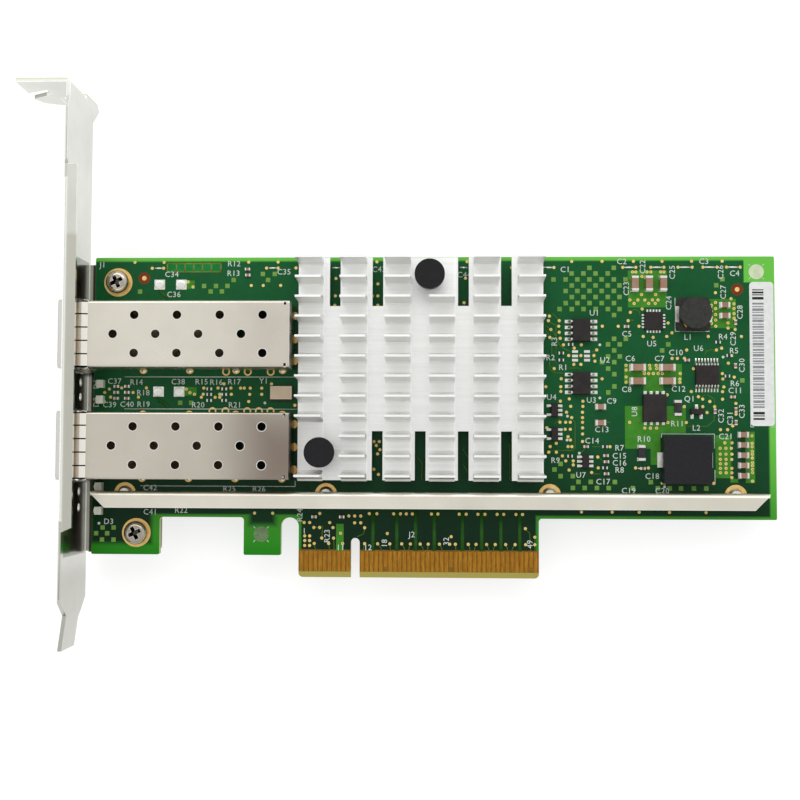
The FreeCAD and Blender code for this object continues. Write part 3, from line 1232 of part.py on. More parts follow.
def crystal():
    """A surface-mount crystal: ceramic tub and brazed metal lid."""
    tub = block_at("tub", "crystal_x", "crystal_y", "board_face",
                   "crystal_length", "crystal_width", "crystal_height")
    publish(tub, "crystal_base")
    lid = block_at("tub_lid", "crystal_x", "crystal_y", "board_face + crystal_height",
                   "crystal_length - 2 * crystal_rim", "crystal_width - 2 * crystal_rim", "crystal_lid")
    publish(lid, "crystal_lid")


def status_lights():
    """Side-looking light-emitting diodes behind the windows in the bracket."""
    lights = []
    for y in LIGHT_PLACES:
        body = block_at("light", "lamp_x", y, "board_face", "lamp_length", "lamp_width", "lamp_height")
        lens = doc.addObject("Part::Cylinder", "lens")
        bind(lens, "Radius", "lamp_lens / 2")
        bind(lens, "Height", "lamp_length / 2 + lamp_reach")
        lens.Placement = FreeCAD.Placement(FreeCAD.Vector(), FreeCAD.Rotation(FreeCAD.Vector(0, 1, 0), 270))
        bind(lens, "Placement.Base.x", "lamp_x")
        bind(lens, "Placement.Base.y", str(y))
        bind(lens, "Placement.Base.z", "board_face + lamp_height / 2")
        light = doc.addObject("Part::Fuse", "status_light")
        light.Base = body
        light.Tool = lens
        lights.append(light)
    group("status_lights", lights)


def label():
    """The paper sticker at the far end, with rounded corners and nothing on it."""
    sticker = new_body("sticker")
    add(sticker, "XY", "board_face", "label_paper",
        centred("label_x", "label_y", "label_width", "label_height"))
    round_edges(sticker, "label_corner", (0, 0, 1),
                [(f"label_x {a} label_width / 2", f"label_y {b} label_height / 2")
                 for a in "-+" for b in "-+"])
    publish(sticker, "label")


def check_document():
    """Stop if a feature failed, if a pocket took nothing away, or if a sub-part is not a sound solid."""
    doc.recompute()
    for thing in doc.Objects:
        if "Invalid" in thing.State or "Error" in thing.State:
            raise RuntimeError("feature failed: " + thing.Name + " " + thing.Label)
        if thing.TypeId == "PartDesign::Pocket":
            if thing.BaseFeature.Shape.Volume - thing.Shape.Volume < 1e-4:
                raise RuntimeError("pocket takes nothing away: " + thing.Name)
    for thing in nodes:
        if thing.Shape.isNull() or not thing.Shape.isValid() or not thing.Shape.Solids:
            raise RuntimeError("not a valid solid: " + thing.Label)


circuit_board()
edge_contacts("edge_contacts_front", "board_face", (6.5, 20.5, 37.5))
edge_contacts("edge_contacts_back", "-board_face - foil_thickness", (-11.5,))
gold_pads()
solder_pads()
mounting_bracket()
bracket_screws()
port(1, "upper_port_y")
port(2, "lower_port_y")
heat_sink()
push_pin("push_pin_upper", "upper_pin_x", "upper_pin_y")
push_pin("push_pin_lower", "lower_pin_x", "lower_pin_y")
push_pin_spring("push_pin_spring_upper", "upper_pin_x", "upper_pin_y")
push_pin_spring("push_pin_spring_lower", "lower_pin_x", "lower_pin_y")
controller()
stiffener_bar()
stiffener_solder()
memory_chips()
clock_chip()
buffer_chip()
power_transistor()
regulators()
small_transistor()
chips("large_capacitor", LARGE_CAPACITORS)
chips("medium_capacitor", MEDIUM_CAPACITORS)
chips("sense_resistor", SENSE_RESISTORS)
chips("small_capacitor", SMALL_CAPACITORS)
chips("small_resistor", SMALL_RESISTORS)
round_inductor()
square_inductor()
crystal()
status_lights()
label()
check_document()

os.makedirs("parts", exist_ok=True)
for node in nodes:
    node.Shape.exportStep(os.path.join("parts", node.Label + ".step"))
print(len(nodes), "sub-parts written")
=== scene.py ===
import math

import bpy
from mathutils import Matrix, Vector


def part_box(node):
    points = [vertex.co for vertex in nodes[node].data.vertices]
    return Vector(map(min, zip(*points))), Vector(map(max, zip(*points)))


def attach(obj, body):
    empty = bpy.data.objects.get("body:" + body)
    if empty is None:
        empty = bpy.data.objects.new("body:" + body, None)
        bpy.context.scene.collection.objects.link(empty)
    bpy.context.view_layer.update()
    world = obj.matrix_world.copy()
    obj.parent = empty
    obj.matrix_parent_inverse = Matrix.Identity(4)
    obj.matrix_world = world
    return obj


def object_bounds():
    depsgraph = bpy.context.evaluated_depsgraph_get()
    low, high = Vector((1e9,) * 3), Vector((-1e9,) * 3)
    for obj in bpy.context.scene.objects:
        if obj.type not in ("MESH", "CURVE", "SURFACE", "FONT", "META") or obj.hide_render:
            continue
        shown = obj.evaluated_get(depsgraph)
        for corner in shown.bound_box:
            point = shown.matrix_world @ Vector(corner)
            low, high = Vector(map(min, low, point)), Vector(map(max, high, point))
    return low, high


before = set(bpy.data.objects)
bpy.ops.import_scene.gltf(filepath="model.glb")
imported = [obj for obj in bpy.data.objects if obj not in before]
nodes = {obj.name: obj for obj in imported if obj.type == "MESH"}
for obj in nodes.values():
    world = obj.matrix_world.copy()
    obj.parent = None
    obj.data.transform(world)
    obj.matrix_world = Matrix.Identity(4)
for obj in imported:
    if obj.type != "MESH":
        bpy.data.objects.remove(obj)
cad_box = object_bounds()

# ------------ circuit board
# Pressed glass-epoxy laminate, routed to its outline, with its contact edge bevelled. Green solder
# mask covers both faces. The copper planes pressed inside make it dark, so the rim outside them and
# the one corner without copper show a bright green.

MM = 0.001
BOARD_LEFT, BOARD_RIGHT, BOARD_TOP = -57.0, 89.4, 68.9
SHOULDER, FOOT_BOTTOM = 12.7, 4.65
FOOT_RIGHT, HOOK_LEFT, HOOK_RIGHT = -42.25, -24.0, -16.0
TONGUE_LEFT, TONGUE_RIGHT = -12.15, 39.15
BOARD_FACE = 0.785


def shade(chart):
    """A colour written as on a paint chart, made linear for a shader."""
    parts = [int(chart[i:i + 2], 16) / 255 for i in (1, 3, 5)]
    return [c / 12.92 if c < 0.04045 else ((c + 0.055) / 1.055) ** 2.4 for c in parts] + [1.0]


def add_node(tree, kind, inputs=None, **settings):
    """A node with its settings, and each input either linked or set."""
    made = tree.nodes.new(kind)
    for name, setting in settings.items():
        setattr(made, name, setting)
    for name, value in (inputs or {}).items():
        if isinstance(value, bpy.types.NodeSocket):
            tree.links.new(value, made.inputs[name])
        else:
            made.inputs[name].default_value = value
    return made


def reckon(tree, operation, first, second=0.0, clamp=True):
    """The result of one sum on values in a shader, as a rule kept between nought and one."""
    return add_node(tree, "ShaderNodeMath", {0: first, 1: second},
                    operation=operation, use_clamp=clamp).outputs[0]


def ramp(tree, value, low, high, out_low=0.0, out_high=1.0):
    """The value spread from one range to another."""
    return add_node(tree, "ShaderNodeMapRange",
                    {0: value, 1: low, 2: high, 3: out_low, 4: out_high}).outputs[0]


def blend(tree, amount, first, second):
    """Two colours mixed by a mask."""
    return add_node(tree, "ShaderNodeMix", {0: amount, 6: first, 7: second},
                    data_type="RGBA").outputs[2]


def new_finish(name, roughness, metallic=0.0, specular=0.5):
    """An empty material with its shader, and the piece's own coordinates."""
    material = bpy.data.materials.new(name)
    material.use_nodes = True
    tree = material.node_tree
    shader = tree.nodes["Principled BSDF"]
    shader.inputs["Roughness"].default_value = roughness
    shader.inputs["Metallic"].default_value = metallic
    shader.inputs["Specular IOR Level"].default_value = specular
    where = add_node(tree, "ShaderNodeTexCoord").outputs["Object"]
    return material, tree, shader, where


def new_group(name, inputs, outputs):
    """A shader node group: a tree, its input node and its output node."""
    tree = bpy.data.node_groups.new(name, "ShaderNodeTree")
    for direction, sockets in (("INPUT", inputs), ("OUTPUT", outputs)):
        for socket, kind in sockets:
            tree.interface.new_socket(name=socket, in_out=direction, socket_type="NodeSocket" + kind)
    return tree, tree.nodes.new("NodeGroupInput").outputs, tree.nodes.new("NodeGroupOutput").inputs


def use_group(tree, group, inputs):
    return add_node(tree, "ShaderNodeGroup", inputs, node_tree=group).outputs


# a box of space, from its low corner to its high corner, with soft sides
field_group, given, made = new_group(
    "box field", [("Point", "Vector"), ("Low", "Vector"), ("High", "Vector"), ("Softness", "Float")],
    [("Mask", "Float")])
above = add_node(field_group, "ShaderNodeVectorMath", {0: given["Point"], 1: given["Low"]},
                 operation="SUBTRACT")
below = add_node(field_group, "ShaderNodeVectorMath", {0: given["High"], 1: given["Point"]},
                 operation="SUBTRACT")
nearest = add_node(field_group, "ShaderNodeVectorMath",
                   {0: above.outputs[0], 1: below.outputs[0]}, operation="MINIMUM")
sides = add_node(field_group, "ShaderNodeSeparateXYZ", {0: nearest.outputs[0]})
gap = reckon(field_group, "MINIMUM", sides.outputs["X"], sides.outputs["Y"], clamp=False)
gap = reckon(field_group, "MINIMUM", gap, sides.outputs["Z"], clamp=False)
edge = add_node(field_group, "ShaderNodeMapRange", {0: gap, 1: 0.0, 2: given["Softness"]},
                interpolation_type="SMOOTHSTEP")
field_group.links.new(edge.outputs[0], made["Mask"])

# a grain: an even speckle, or drawing lines where it is stretched
grain_group, given, made = new_group(
    "grain", [("Point", "Vector"), ("Stretch", "Vector"), ("Scale", "Float")], [("Value", "Float")])
pulled = add_node(grain_group, "ShaderNodeVectorMath", {0: given["Point"], 1: given["Stretch"]},
                  operation="MULTIPLY")
noise = add_node(grain_group, "ShaderNodeTexNoise",
                 {"Vector": pulled.outputs[0], "Scale": given["Scale"], "Detail": 5.0, "Roughness": 0.6})
grain_group.links.new(ramp(grain_group, noise.outputs["Fac"], 0.3, 0.7), made["Value"])


def grain(tree, where, scale, stretch=(1.0, 1.0, 1.0)):
    return use_group(tree, grain_group, {"Point": where, "Stretch": stretch, "Scale": scale})["Value"]


def field(tree, where, left, bottom, right, top, softness=0.25, floor=-999.0, ceiling=999.0):
    """A mask of what lies within a box, in millimetres."""
    return use_group(tree, field_group, {
        "Point": where, "Low": (left * MM, bottom * MM, floor * MM),
        "High": (right * MM, top * MM, ceiling * MM), "Softness": softness * MM})["Mask"]


def either(tree, masks):
    """What lies in any of the masks."""
    found = masks[0]
    for mask in masks[1:]:
        found = reckon(tree, "MAXIMUM", found, mask)
    return found


def bump(tree, shader, height, strength, distance):
    """A surface roughened by a height, over a distance in millimetres."""
    made = add_node(tree, "ShaderNodeBump",
                    {"Height": height, "Strength": strength, "Distance": distance * MM})
    tree.links.new(made.outputs[0], shader.inputs["Normal"])


def surface(tree, shader, tone, fine, rough=(), raised=()):
    """A finish's colour, and the range of roughness and the relief that its grain gives it."""
    tree.links.new(tone, shader.inputs["Base Color"])
    if len(rough) > 1:
        tree.links.new(ramp(tree, fine, 0.0, 1.0, *rough), shader.inputs["Roughness"])
    if raised:
        bump(tree, shader, fine, *raised)


def dress(material, *names):
    """Gives carried-over nodes their finish."""
    for name in names:
        for place in nodes[name].material_slots:
            place.material = material


mask_green, tree, shader, where = new_finish("green solder mask", 0.3, specular=0.12)
planes = either(tree, [
    field(tree, where, BOARD_LEFT - 0.4, SHOULDER + 0.3, BOARD_RIGHT - 1.1, BOARD_TOP - 0.5, 0.6),
    field(tree, where, BOARD_LEFT - 1.0, FOOT_BOTTOM + 1.5, FOOT_RIGHT - 0.9, SHOULDER + 5.0, 1.6),
    field(tree, where, HOOK_LEFT + 0.3, 10.2, HOOK_RIGHT - 0.3, SHOULDER + 5.0, 1.8),
    field(tree, where, TONGUE_LEFT + 0.3, 4.5, TONGUE_RIGHT - 0.35, SHOULDER + 5.0, 0.5),
])
bare_corner = field(tree, where, 82.8, 63.2, 95.0, 75.0)
planes = reckon(tree, "SUBTRACT", planes, bare_corner)
weave = grain(tree, where, 900.0)
cloudy = grain(tree, where, 45.0)
up_the_card = add_node(tree, "ShaderNodeSeparateXYZ", {0: where}).outputs["Y"]
low_tone = blend(tree, cloudy, shade("#051E0E"), shade("#0B2A18"))
high_tone = blend(tree, cloudy, shade("#0C4E25"), shade("#155E32"))
dark = blend(tree, ramp(tree, up_the_card, 0.008, 0.04), low_tone, high_tone)
dark = blend(tree, ramp(tree, weave, 0.0, 1.0, 0.0, 0.2), dark, shade("#07361A"))
bright = blend(tree, ramp(tree, up_the_card, 0.004, 0.03), shade("#14780C"), shade("#66BC44"))
mask_colour = blend(tree, planes, bright, dark)
comb = field(tree, where, TONGUE_LEFT - 1, -1.0, TONGUE_RIGHT + 1, 5.95, softness=0.1)
lead_in = field(tree, where, TONGUE_LEFT - 1, -1.0, TONGUE_RIGHT + 1, 1.3, softness=0.12)
laminate = blend(tree, weave, shade("#6E4A12"), shade("#8A6420"))
laminate = blend(tree, lead_in, laminate, shade("#A59A50"))
face_colour = blend(tree, comb, mask_colour, laminate)
facing = add_node(tree, "ShaderNodeSeparateXYZ",
                  {0: add_node(tree, "ShaderNodeNewGeometry").outputs["Normal"]}).outputs["Z"]
facing = reckon(tree, "ABSOLUTE", facing, clamp=False)
plies = grain(tree, where, 1500.0, (0.05, 0.05, 8.0))
routed = blend(tree, plies, shade("#7FA04A"), shade("#A9B56C"))
surface(tree, shader, blend(tree, ramp(tree, facing, 0.3, 0.6), routed, face_colour), weave,
        (0.26, 0.36), (0.25, 0.02))
dress(mask_green, "circuit_board")

# ------------ contact fingers and plated pads
# Copper plated with nickel and hard gold. The fingers carry fine rub marks along their length
# where a socket's springs have wiped them; the rings and targets are flat, paler immersion gold.

hard_gold, tree, shader, where = new_finish("hard gold", 0.3, metallic=1.0)
rubbed = grain(tree, where, 700.0, (9.0, 0.6, 1.0))
cloudy = grain(tree, where, 160.0)
gold = blend(tree, rubbed, shade("#94621A"), shade("#C08A34"))
gold = blend(tree, ramp(tree, cloudy, 0.4, 1.0, 0.0, 0.5), gold, shade("#8E5E20"))
surface(tree, shader, gold, rubbed, (0.22, 0.42), (0.3, 0.01))
dress(hard_gold, "edge_contacts_front", "edge_contacts_back",
      "port_1_connector_contacts", "port_2_connector_contacts")


def speckled(name, scale, low, high, rough, raised=(), metallic=0.0, specular=0.5):
    """A plain finish with one even grain: its scale, two tones, roughness (one or two) and relief."""
    material, tree, shader, where = new_finish(name, sum(rough) / len(rough), metallic, specular)
    fine = grain(tree, where, scale)
    surface(tree, shader, blend(tree, fine, shade(low), shade(high)), fine, rough, raised)
    return material


pale_gold = speckled("immersion gold", 900.0, "#D8A95C", "#F0CF8C", (0.34, 0.5), (0.2, 0.01),
                     metallic=1.0)
dress(pale_gold, "gold_pads")

# ------------ tinned metal
# Tin over copper: package leads, chip ends, solder round the bar's feet and lands with no part on
# them. It froze from liquid, so it is bright, slightly rippled and duller where flux dried.

tinned, tree, shader, where = new_finish("tinned metal", 0.28, metallic=1.0)
ripple = grain(tree, where, 1400.0)
dried = grain(tree, where, 300.0)
surface(tree, shader, blend(tree, dried, shade("#ECECE7"), shade("#CFCDC4")), dried, (0.2, 0.45))
bump(tree, shader, ripple, 0.5, 0.03)
dress(tinned, "solder_pads", "stiffener_solder", "memory_chip_leads", "clock_chip_pads",
      "buffer_chip_leads", "power_transistor_leads", "regulator_leads", "small_transistor_leads",
      "round_inductor_terminals", "square_inductor_terminals", "large_capacitor_ends",
      "medium_capacitor_ends", "small_capacitor_ends", "sense_resistor_ends", "small_resistor_ends")

# ------------ copper under the mask
# Etched copper shapes that show through the green mask: wide pours, the small squares that even
# out the plating, and thin tracks. Each is one foil thick, so the mask steps up over it.

FOIL, SUNK = 0.03, 0.01


def take(*pieces):
    """Selects the pieces and nothing else, the first one active."""
    bpy.ops.object.select_all(action="DESELECT")
    for piece in pieces:
        piece.select_set(True)
    bpy.context.view_layer.objects.active = pieces[0]


def settle(pieces, name, material):
    """Joins pieces into one, puts its place in its mesh, and gives it a finish and a body."""
    take(*pieces)
    if len(pieces) > 1:
        bpy.ops.object.join()
    bpy.ops.object.transform_apply(location=True, rotation=True, scale=True)
    made = bpy.context.object
    made.name = made.data.name = name
    made.data.materials.clear()
    made.data.materials.append(material)
    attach(made, "root")


def copies(master, places):
    """Copies of a modelled piece, each with its own mesh, at places in millimetres."""
    made = []
    for x, y in places:
        twin = master.copy()
        twin.data = master.data.copy()
        twin.location.x, twin.location.y = x * MM, y * MM
        bpy.context.collection.objects.link(twin)
        made.append(twin)
    bpy.data.objects.remove(master)
    return made


def to_mesh(piece):
    """A curve or words made a closed mesh with its faces outwards."""
    take(piece)
    bpy.ops.object.convert(target="MESH")
    bpy.ops.object.mode_set(mode="EDIT")
    bpy.ops.mesh.select_all(action="SELECT")
    bpy.ops.mesh.remove_doubles(threshold=0.000002)
    bpy.ops.mesh.normals_make_consistent(inside=False)
    bpy.ops.object.mode_set(mode="OBJECT")
    return bpy.context.object


def trace(drawn, points, kind="POLY"):
    """A line through points, in millimetres, added to a curve."""
    path = drawn.splines.new(kind)
    path.points.add(len(points) - 1)
    for point, (x, y, *z) in zip(path.points, points):
        point.co = (x * MM, y * MM, z[0] * MM if z else 0.0, 1.0)
    return path


def plates(outlines, level, thickness):
    """Flat shapes cut from sheet, each given by its corners, lying at a level."""
    drawn = bpy.data.curves.new("outline", "CURVE")
    drawn.dimensions, drawn.fill_mode, drawn.extrude = "2D", "BOTH", thickness / 2 * MM
    for outline in outlines:
        trace(drawn, outline).use_cyclic_u = True
    piece = bpy.data.objects.new("outline", drawn)
    piece.location.z = (level + thickness / 2) * MM
    bpy.context.collection.objects.link(piece)
    return to_mesh(piece)


def strokes(lines, width, level, rise):
    """Lines of one width laid on the board: low round ridges through their points."""
    drawn = bpy.data.curves.new("lines", "CURVE")
    drawn.dimensions, drawn.use_fill_caps = "3D", True
    drawn.bevel_depth, drawn.bevel_resolution = width / 2 * MM, 1
    for line in lines:
        trace(drawn, line)
    piece = bpy.data.objects.new("lines", drawn)
    piece.location.z = level * MM
    piece.scale.z = 2 * rise / width
    bpy.context.collection.objects.link(piece)
    return to_mesh(piece)


def oblong(left, bottom, right, top):
    return [(left, bottom), (right, bottom), (right, top), (left, top)]


def solid(kind, location=(0.0, 0.0, 0.0), scale=(1.0, 1.0, 1.0), **settings):
    """A primitive alone at its place, in millimetres, left in edit mode with everything selected."""
    bpy.ops.object.select_all(action="DESELECT")
    getattr(bpy.ops.mesh, "primitive_" + kind + "_add")(
        location=[c * MM for c in location], scale=[c * MM for c in scale], **settings)
    bpy.ops.object.mode_set(mode="EDIT")
    return bpy.context.object


def pick(piece, chosen):
    """Selects, by a test on their normals and centres, faces of the piece being edited."""
    bpy.ops.mesh.select_mode(type="FACE")
    bpy.ops.object.mode_set(mode="OBJECT")
    for group in (piece.data.vertices, piece.data.edges, piece.data.polygons):
        group.foreach_set("select", [False] * len(group))
    for face in piece.data.polygons:
        face.select = chosen(face)
    bpy.ops.object.mode_set(mode="EDIT")


def foil_green(name, low, high):
    material, tree, shader, where = new_finish(name, 0.32, specular=0.12)
    tone = blend(tree, grain(tree, where, 700.0), shade(low), shade(high))
    surface(tree, shader, tone, grain(tree, where, 1600.0), (0.26, 0.4), (0.2, 0.01))
    return material


mask_over_pour = foil_green("mask over a pour", "#34781C", "#44882C")
mask_over_square = foil_green("mask over a square", "#66903C", "#789E4C")
mask_over_track = foil_green("mask over a track", "#4A6A18", "#5E7A24")
mask_over_strip = foil_green("mask over a wide track", "#1A4A12", "#2A5A1C")

settle([plates([
    oblong(58.3, 57.95, 66.6, 65.9),
    [(57.4, 41.5), (59.4, 41.5), (59.4, 42.6), (61.5, 42.6), (61.5, 39.7), (65.7, 39.7), (65.7, 42.6),
     (68.5, 42.6), (68.5, 41.5), (69.65, 41.5), (69.65, 45.8), (57.4, 45.8)],
    [(57.5, 27.7), (62.9, 27.7), (62.9, 24.3), (65.0, 24.3), (65.0, 31.0), (70.4, 31.0), (70.4, 36.8),
     (57.5, 36.8)],
    oblong(76.6, 21.5, 79.9, 30.6), oblong(79.7, 20.6, 81.3, 21.4), oblong(82.9, 20.5, 84.9, 31.4),
    oblong(75.5, 53.5, 81.2, 59.75), oblong(-37.05, 62.05, -35.25, 63.9),
    oblong(-37.3, 38.85, -34.5, 40.7), oblong(-4.1, 5.7, -2.5, 11.4),
], BOARD_FACE - SUNK, FOIL)], "copper_pours", mask_over_pour)

SQUARE_SIDE = 0.95
square = solid("cube", (0.0, 0.0, BOARD_FACE + FOIL / 2 - SUNK), (SQUARE_SIDE, SQUARE_SIDE, FOIL),
               size=1.0)
bpy.ops.mesh.bevel(offset=0.01 * MM, segments=1, affect="EDGES")
bpy.ops.object.mode_set(mode="OBJECT")
SQUARE_ROWS = [
    (66.5, 50.1, 55.3), (65.3, 46.3, 48.8, 51.4, 54.0, -20.4, -17.8), (64.0, 42.4, 45.0, 47.5, 50.1,
    52.7, 55.3, 57.8, -26.75, -19.25, 78.4), (62.7, 46.3, 48.8, 51.4, 54.0, 56.5, -33.2, -30.6, -28.1,
    77.1), (61.5, 45.0, 47.5, 50.1, 52.7, 55.3, -31.75, -29.3, -47.2), (60.2, 46.3, 48.8, 51.4, 54.0,
    56.5), (58.9, 45.0, 47.5, 50.1, 52.7, 55.3), (57.6, 43.7, 46.3, 48.8, 51.4, 54.0, 56.5), (56.3,
    55.3), (51.2, 55.3, 57.8), (50.0, 54.0, 56.5, 66.8), (48.7, 55.3, 65.5), (47.4, 54.0, 56.5), (46.2,
    52.7, 55.3), (44.8, 54.0), (43.6, 55.3), (42.3, 82.4), (41.0, 55.3), (39.7, 54.0), (24.4, 43.8),
    (23.2, 42.5), (21.8, 43.8, 46.4), (20.6, 47.6, 50.2, 55.3, 62.9), (19.3, 46.4, 48.9, 51.5, 54.0,
    59.1, 64.4, 66.9, 69.3, 72.0, 74.6), (37.3, -38.1, -35.7), (10.35, -54.6, -52.2), (9.1, -56.0,
    -53.6), (7.75, -54.7, -52.2),
]
settle(copies(square, [(x, row[0]) for row in SQUARE_ROWS for x in row[1:]]),
       "copper_squares", mask_over_square)

TRACK_RISE = 0.018
settle([strokes([
    [(70.5, 32.5), (74.9, 32.5), (76.4, 33.8), (76.4, 36.5)], [(46.3, 33.8), (46.9, 33.4), (46.9, 27.8),
    (46.4, 27.3), (41.3, 27.3)], [(42.2, 32.7), (43.7, 34.0)], [(50.5, 28.1), (52.3, 28.1)], [(50.5,
    22.3), (52.3, 22.3)], [(51.8, 25.9), (53.0, 24.9)], [(47.4, 26.2), (49.0, 27.6), (49.0, 28.1)],
    [(2.0, 10.5), (1.8, 9.3), (0.4, 8.7)], [(2.0, 7.2), (1.7, 5.9)], [(36.3, 10.5), (37.2, 9.6), (37.4,
    5.9)], [(38.3, 8.5), (38.3, 5.9)], [(-8.8, 6.9), (-8.5, 5.9)], [(-5.7, 6.9), (-5.5, 5.9)], [(-7.2,
    8.4), (-7.0, 11.0)], [(-4.65, 8.3), (-4.5, 5.9)], [(-8.9, 10.65), (-7.65, 10.6)], [(42.0, 56.8),
    (43.5, 55.3)], [(40.8, 55.0), (41.4, 54.9), (43.4, 53.9)], [(42.9, 54.0), (42.9, 47.5)], [(40.6,
    54.2), (42.4, 52.6), (43.2, 51.2), (43.4, 50.2), (44.4, 49.2), (45.3, 48.8), (46.0, 48.3)], [(42.0,
    50.5), (42.0, 47.9), (43.0, 45.9)], [(40.6, 53.2), (41.6, 51.6)], [(41.5, 46.8), (41.5, 45.4),
    (42.4, 44.7)], [(41.0, 45.2), (42.6, 43.9), (44.5, 43.8)], [(59.1, 57.2), (59.6, 57.5), (60.3,
    57.4), (60.8, 56.9), (60.8, 55.9)], [(50.5, 48.4), (51.6, 48.7)], [(46.3, 49.9), (46.8, 49.2)],
    [(45.1, 44.9), (47.8, 44.9), (48.3, 44.4)], [(76.6, 49.0), (74.9, 48.6), (74.4, 47.5)], [(78.1,
    49.5), (76.2, 48.4)], [(74.5, 39.3), (73.4, 38.4)], [(74.9, 39.3), (76.5, 38.3), (76.5, 36.7)],
    [(58.3, 55.2), (59.6, 55.2)], [(54.4, 33.3), (53.4, 33.3)], [(33.4, 66.6), (33.4, 58.2)], [(3.5,
    27.2), (3.5, 20.6)], [(13.0, 26.0), (14.2, 24.4), (14.2, 20.8)], [(23.0, 27.5), (24.4, 25.2)],
    [(23.0, 24.2), (24.4, 21.9)], [(33.0, 28.6), (33.0, 20.9)],
] + [[(x, 7.2), (x + lean, 6.3), (x + lean, 5.75)] for x, lean in (
    (4.8, 0.7), (7.4, 0.1), (9.95, 0.55), (11.8, -0.3), (13.9, 0.6), (15.6, -0.1), (18.0, 0.5),
    (21.4, 0.1), (24.15, 0.35), (25.8, -0.3), (28.05, 0.45), (29.9, -0.4), (32.1, 0.4), (34.1, -0.6))],
    0.16, BOARD_FACE, TRACK_RISE)], "thin_tracks", mask_over_track)

settle([strokes(
    [[(x, 14.9), (x, 5.75)] for x in (3.77, 8.9, 12.9, 16.9, 22.9, 27.0, 31.1, 35.1)]
    + [[(-42.8, 62.0), (-42.5, 61.2), (-41.9, 60.7), (-41.0, 60.4)],
       [(-43.1, 38.7), (-42.6, 37.8), (-41.4, 37.2), (-40.9, 36.6), (-40.9, 36.0)]],
    0.85, BOARD_FACE, TRACK_RISE)], "wide_tracks", mask_over_strip)

# ------------ plated through-holes
# Small holes drilled through the board and plated with copper and thin gold, with a flat ring on
# each face. Wider ones take the legs of the cages.

via_gold = speckled("thin gold", 900.0, "#D2B468", "#EED890", (0.4, 0.6), (0.2, 0.01), metallic=1.0)


def plated_hole(corners, radius, rise, land, wall, sink):
    """A plug through the board: it rises from each face as a flat ring, and sinks inside it."""
    made = solid("cylinder", vertices=corners, radius=radius, depth=2 * (BOARD_FACE + rise))
    pick(made, lambda face: abs(face.normal.z) > 0.9)
    bpy.ops.mesh.inset(thickness=land * MM, depth=0.0)
    bpy.ops.mesh.inset(thickness=wall * MM, depth=-sink * MM)
    bpy.ops.object.mode_set(mode="OBJECT")
    return made


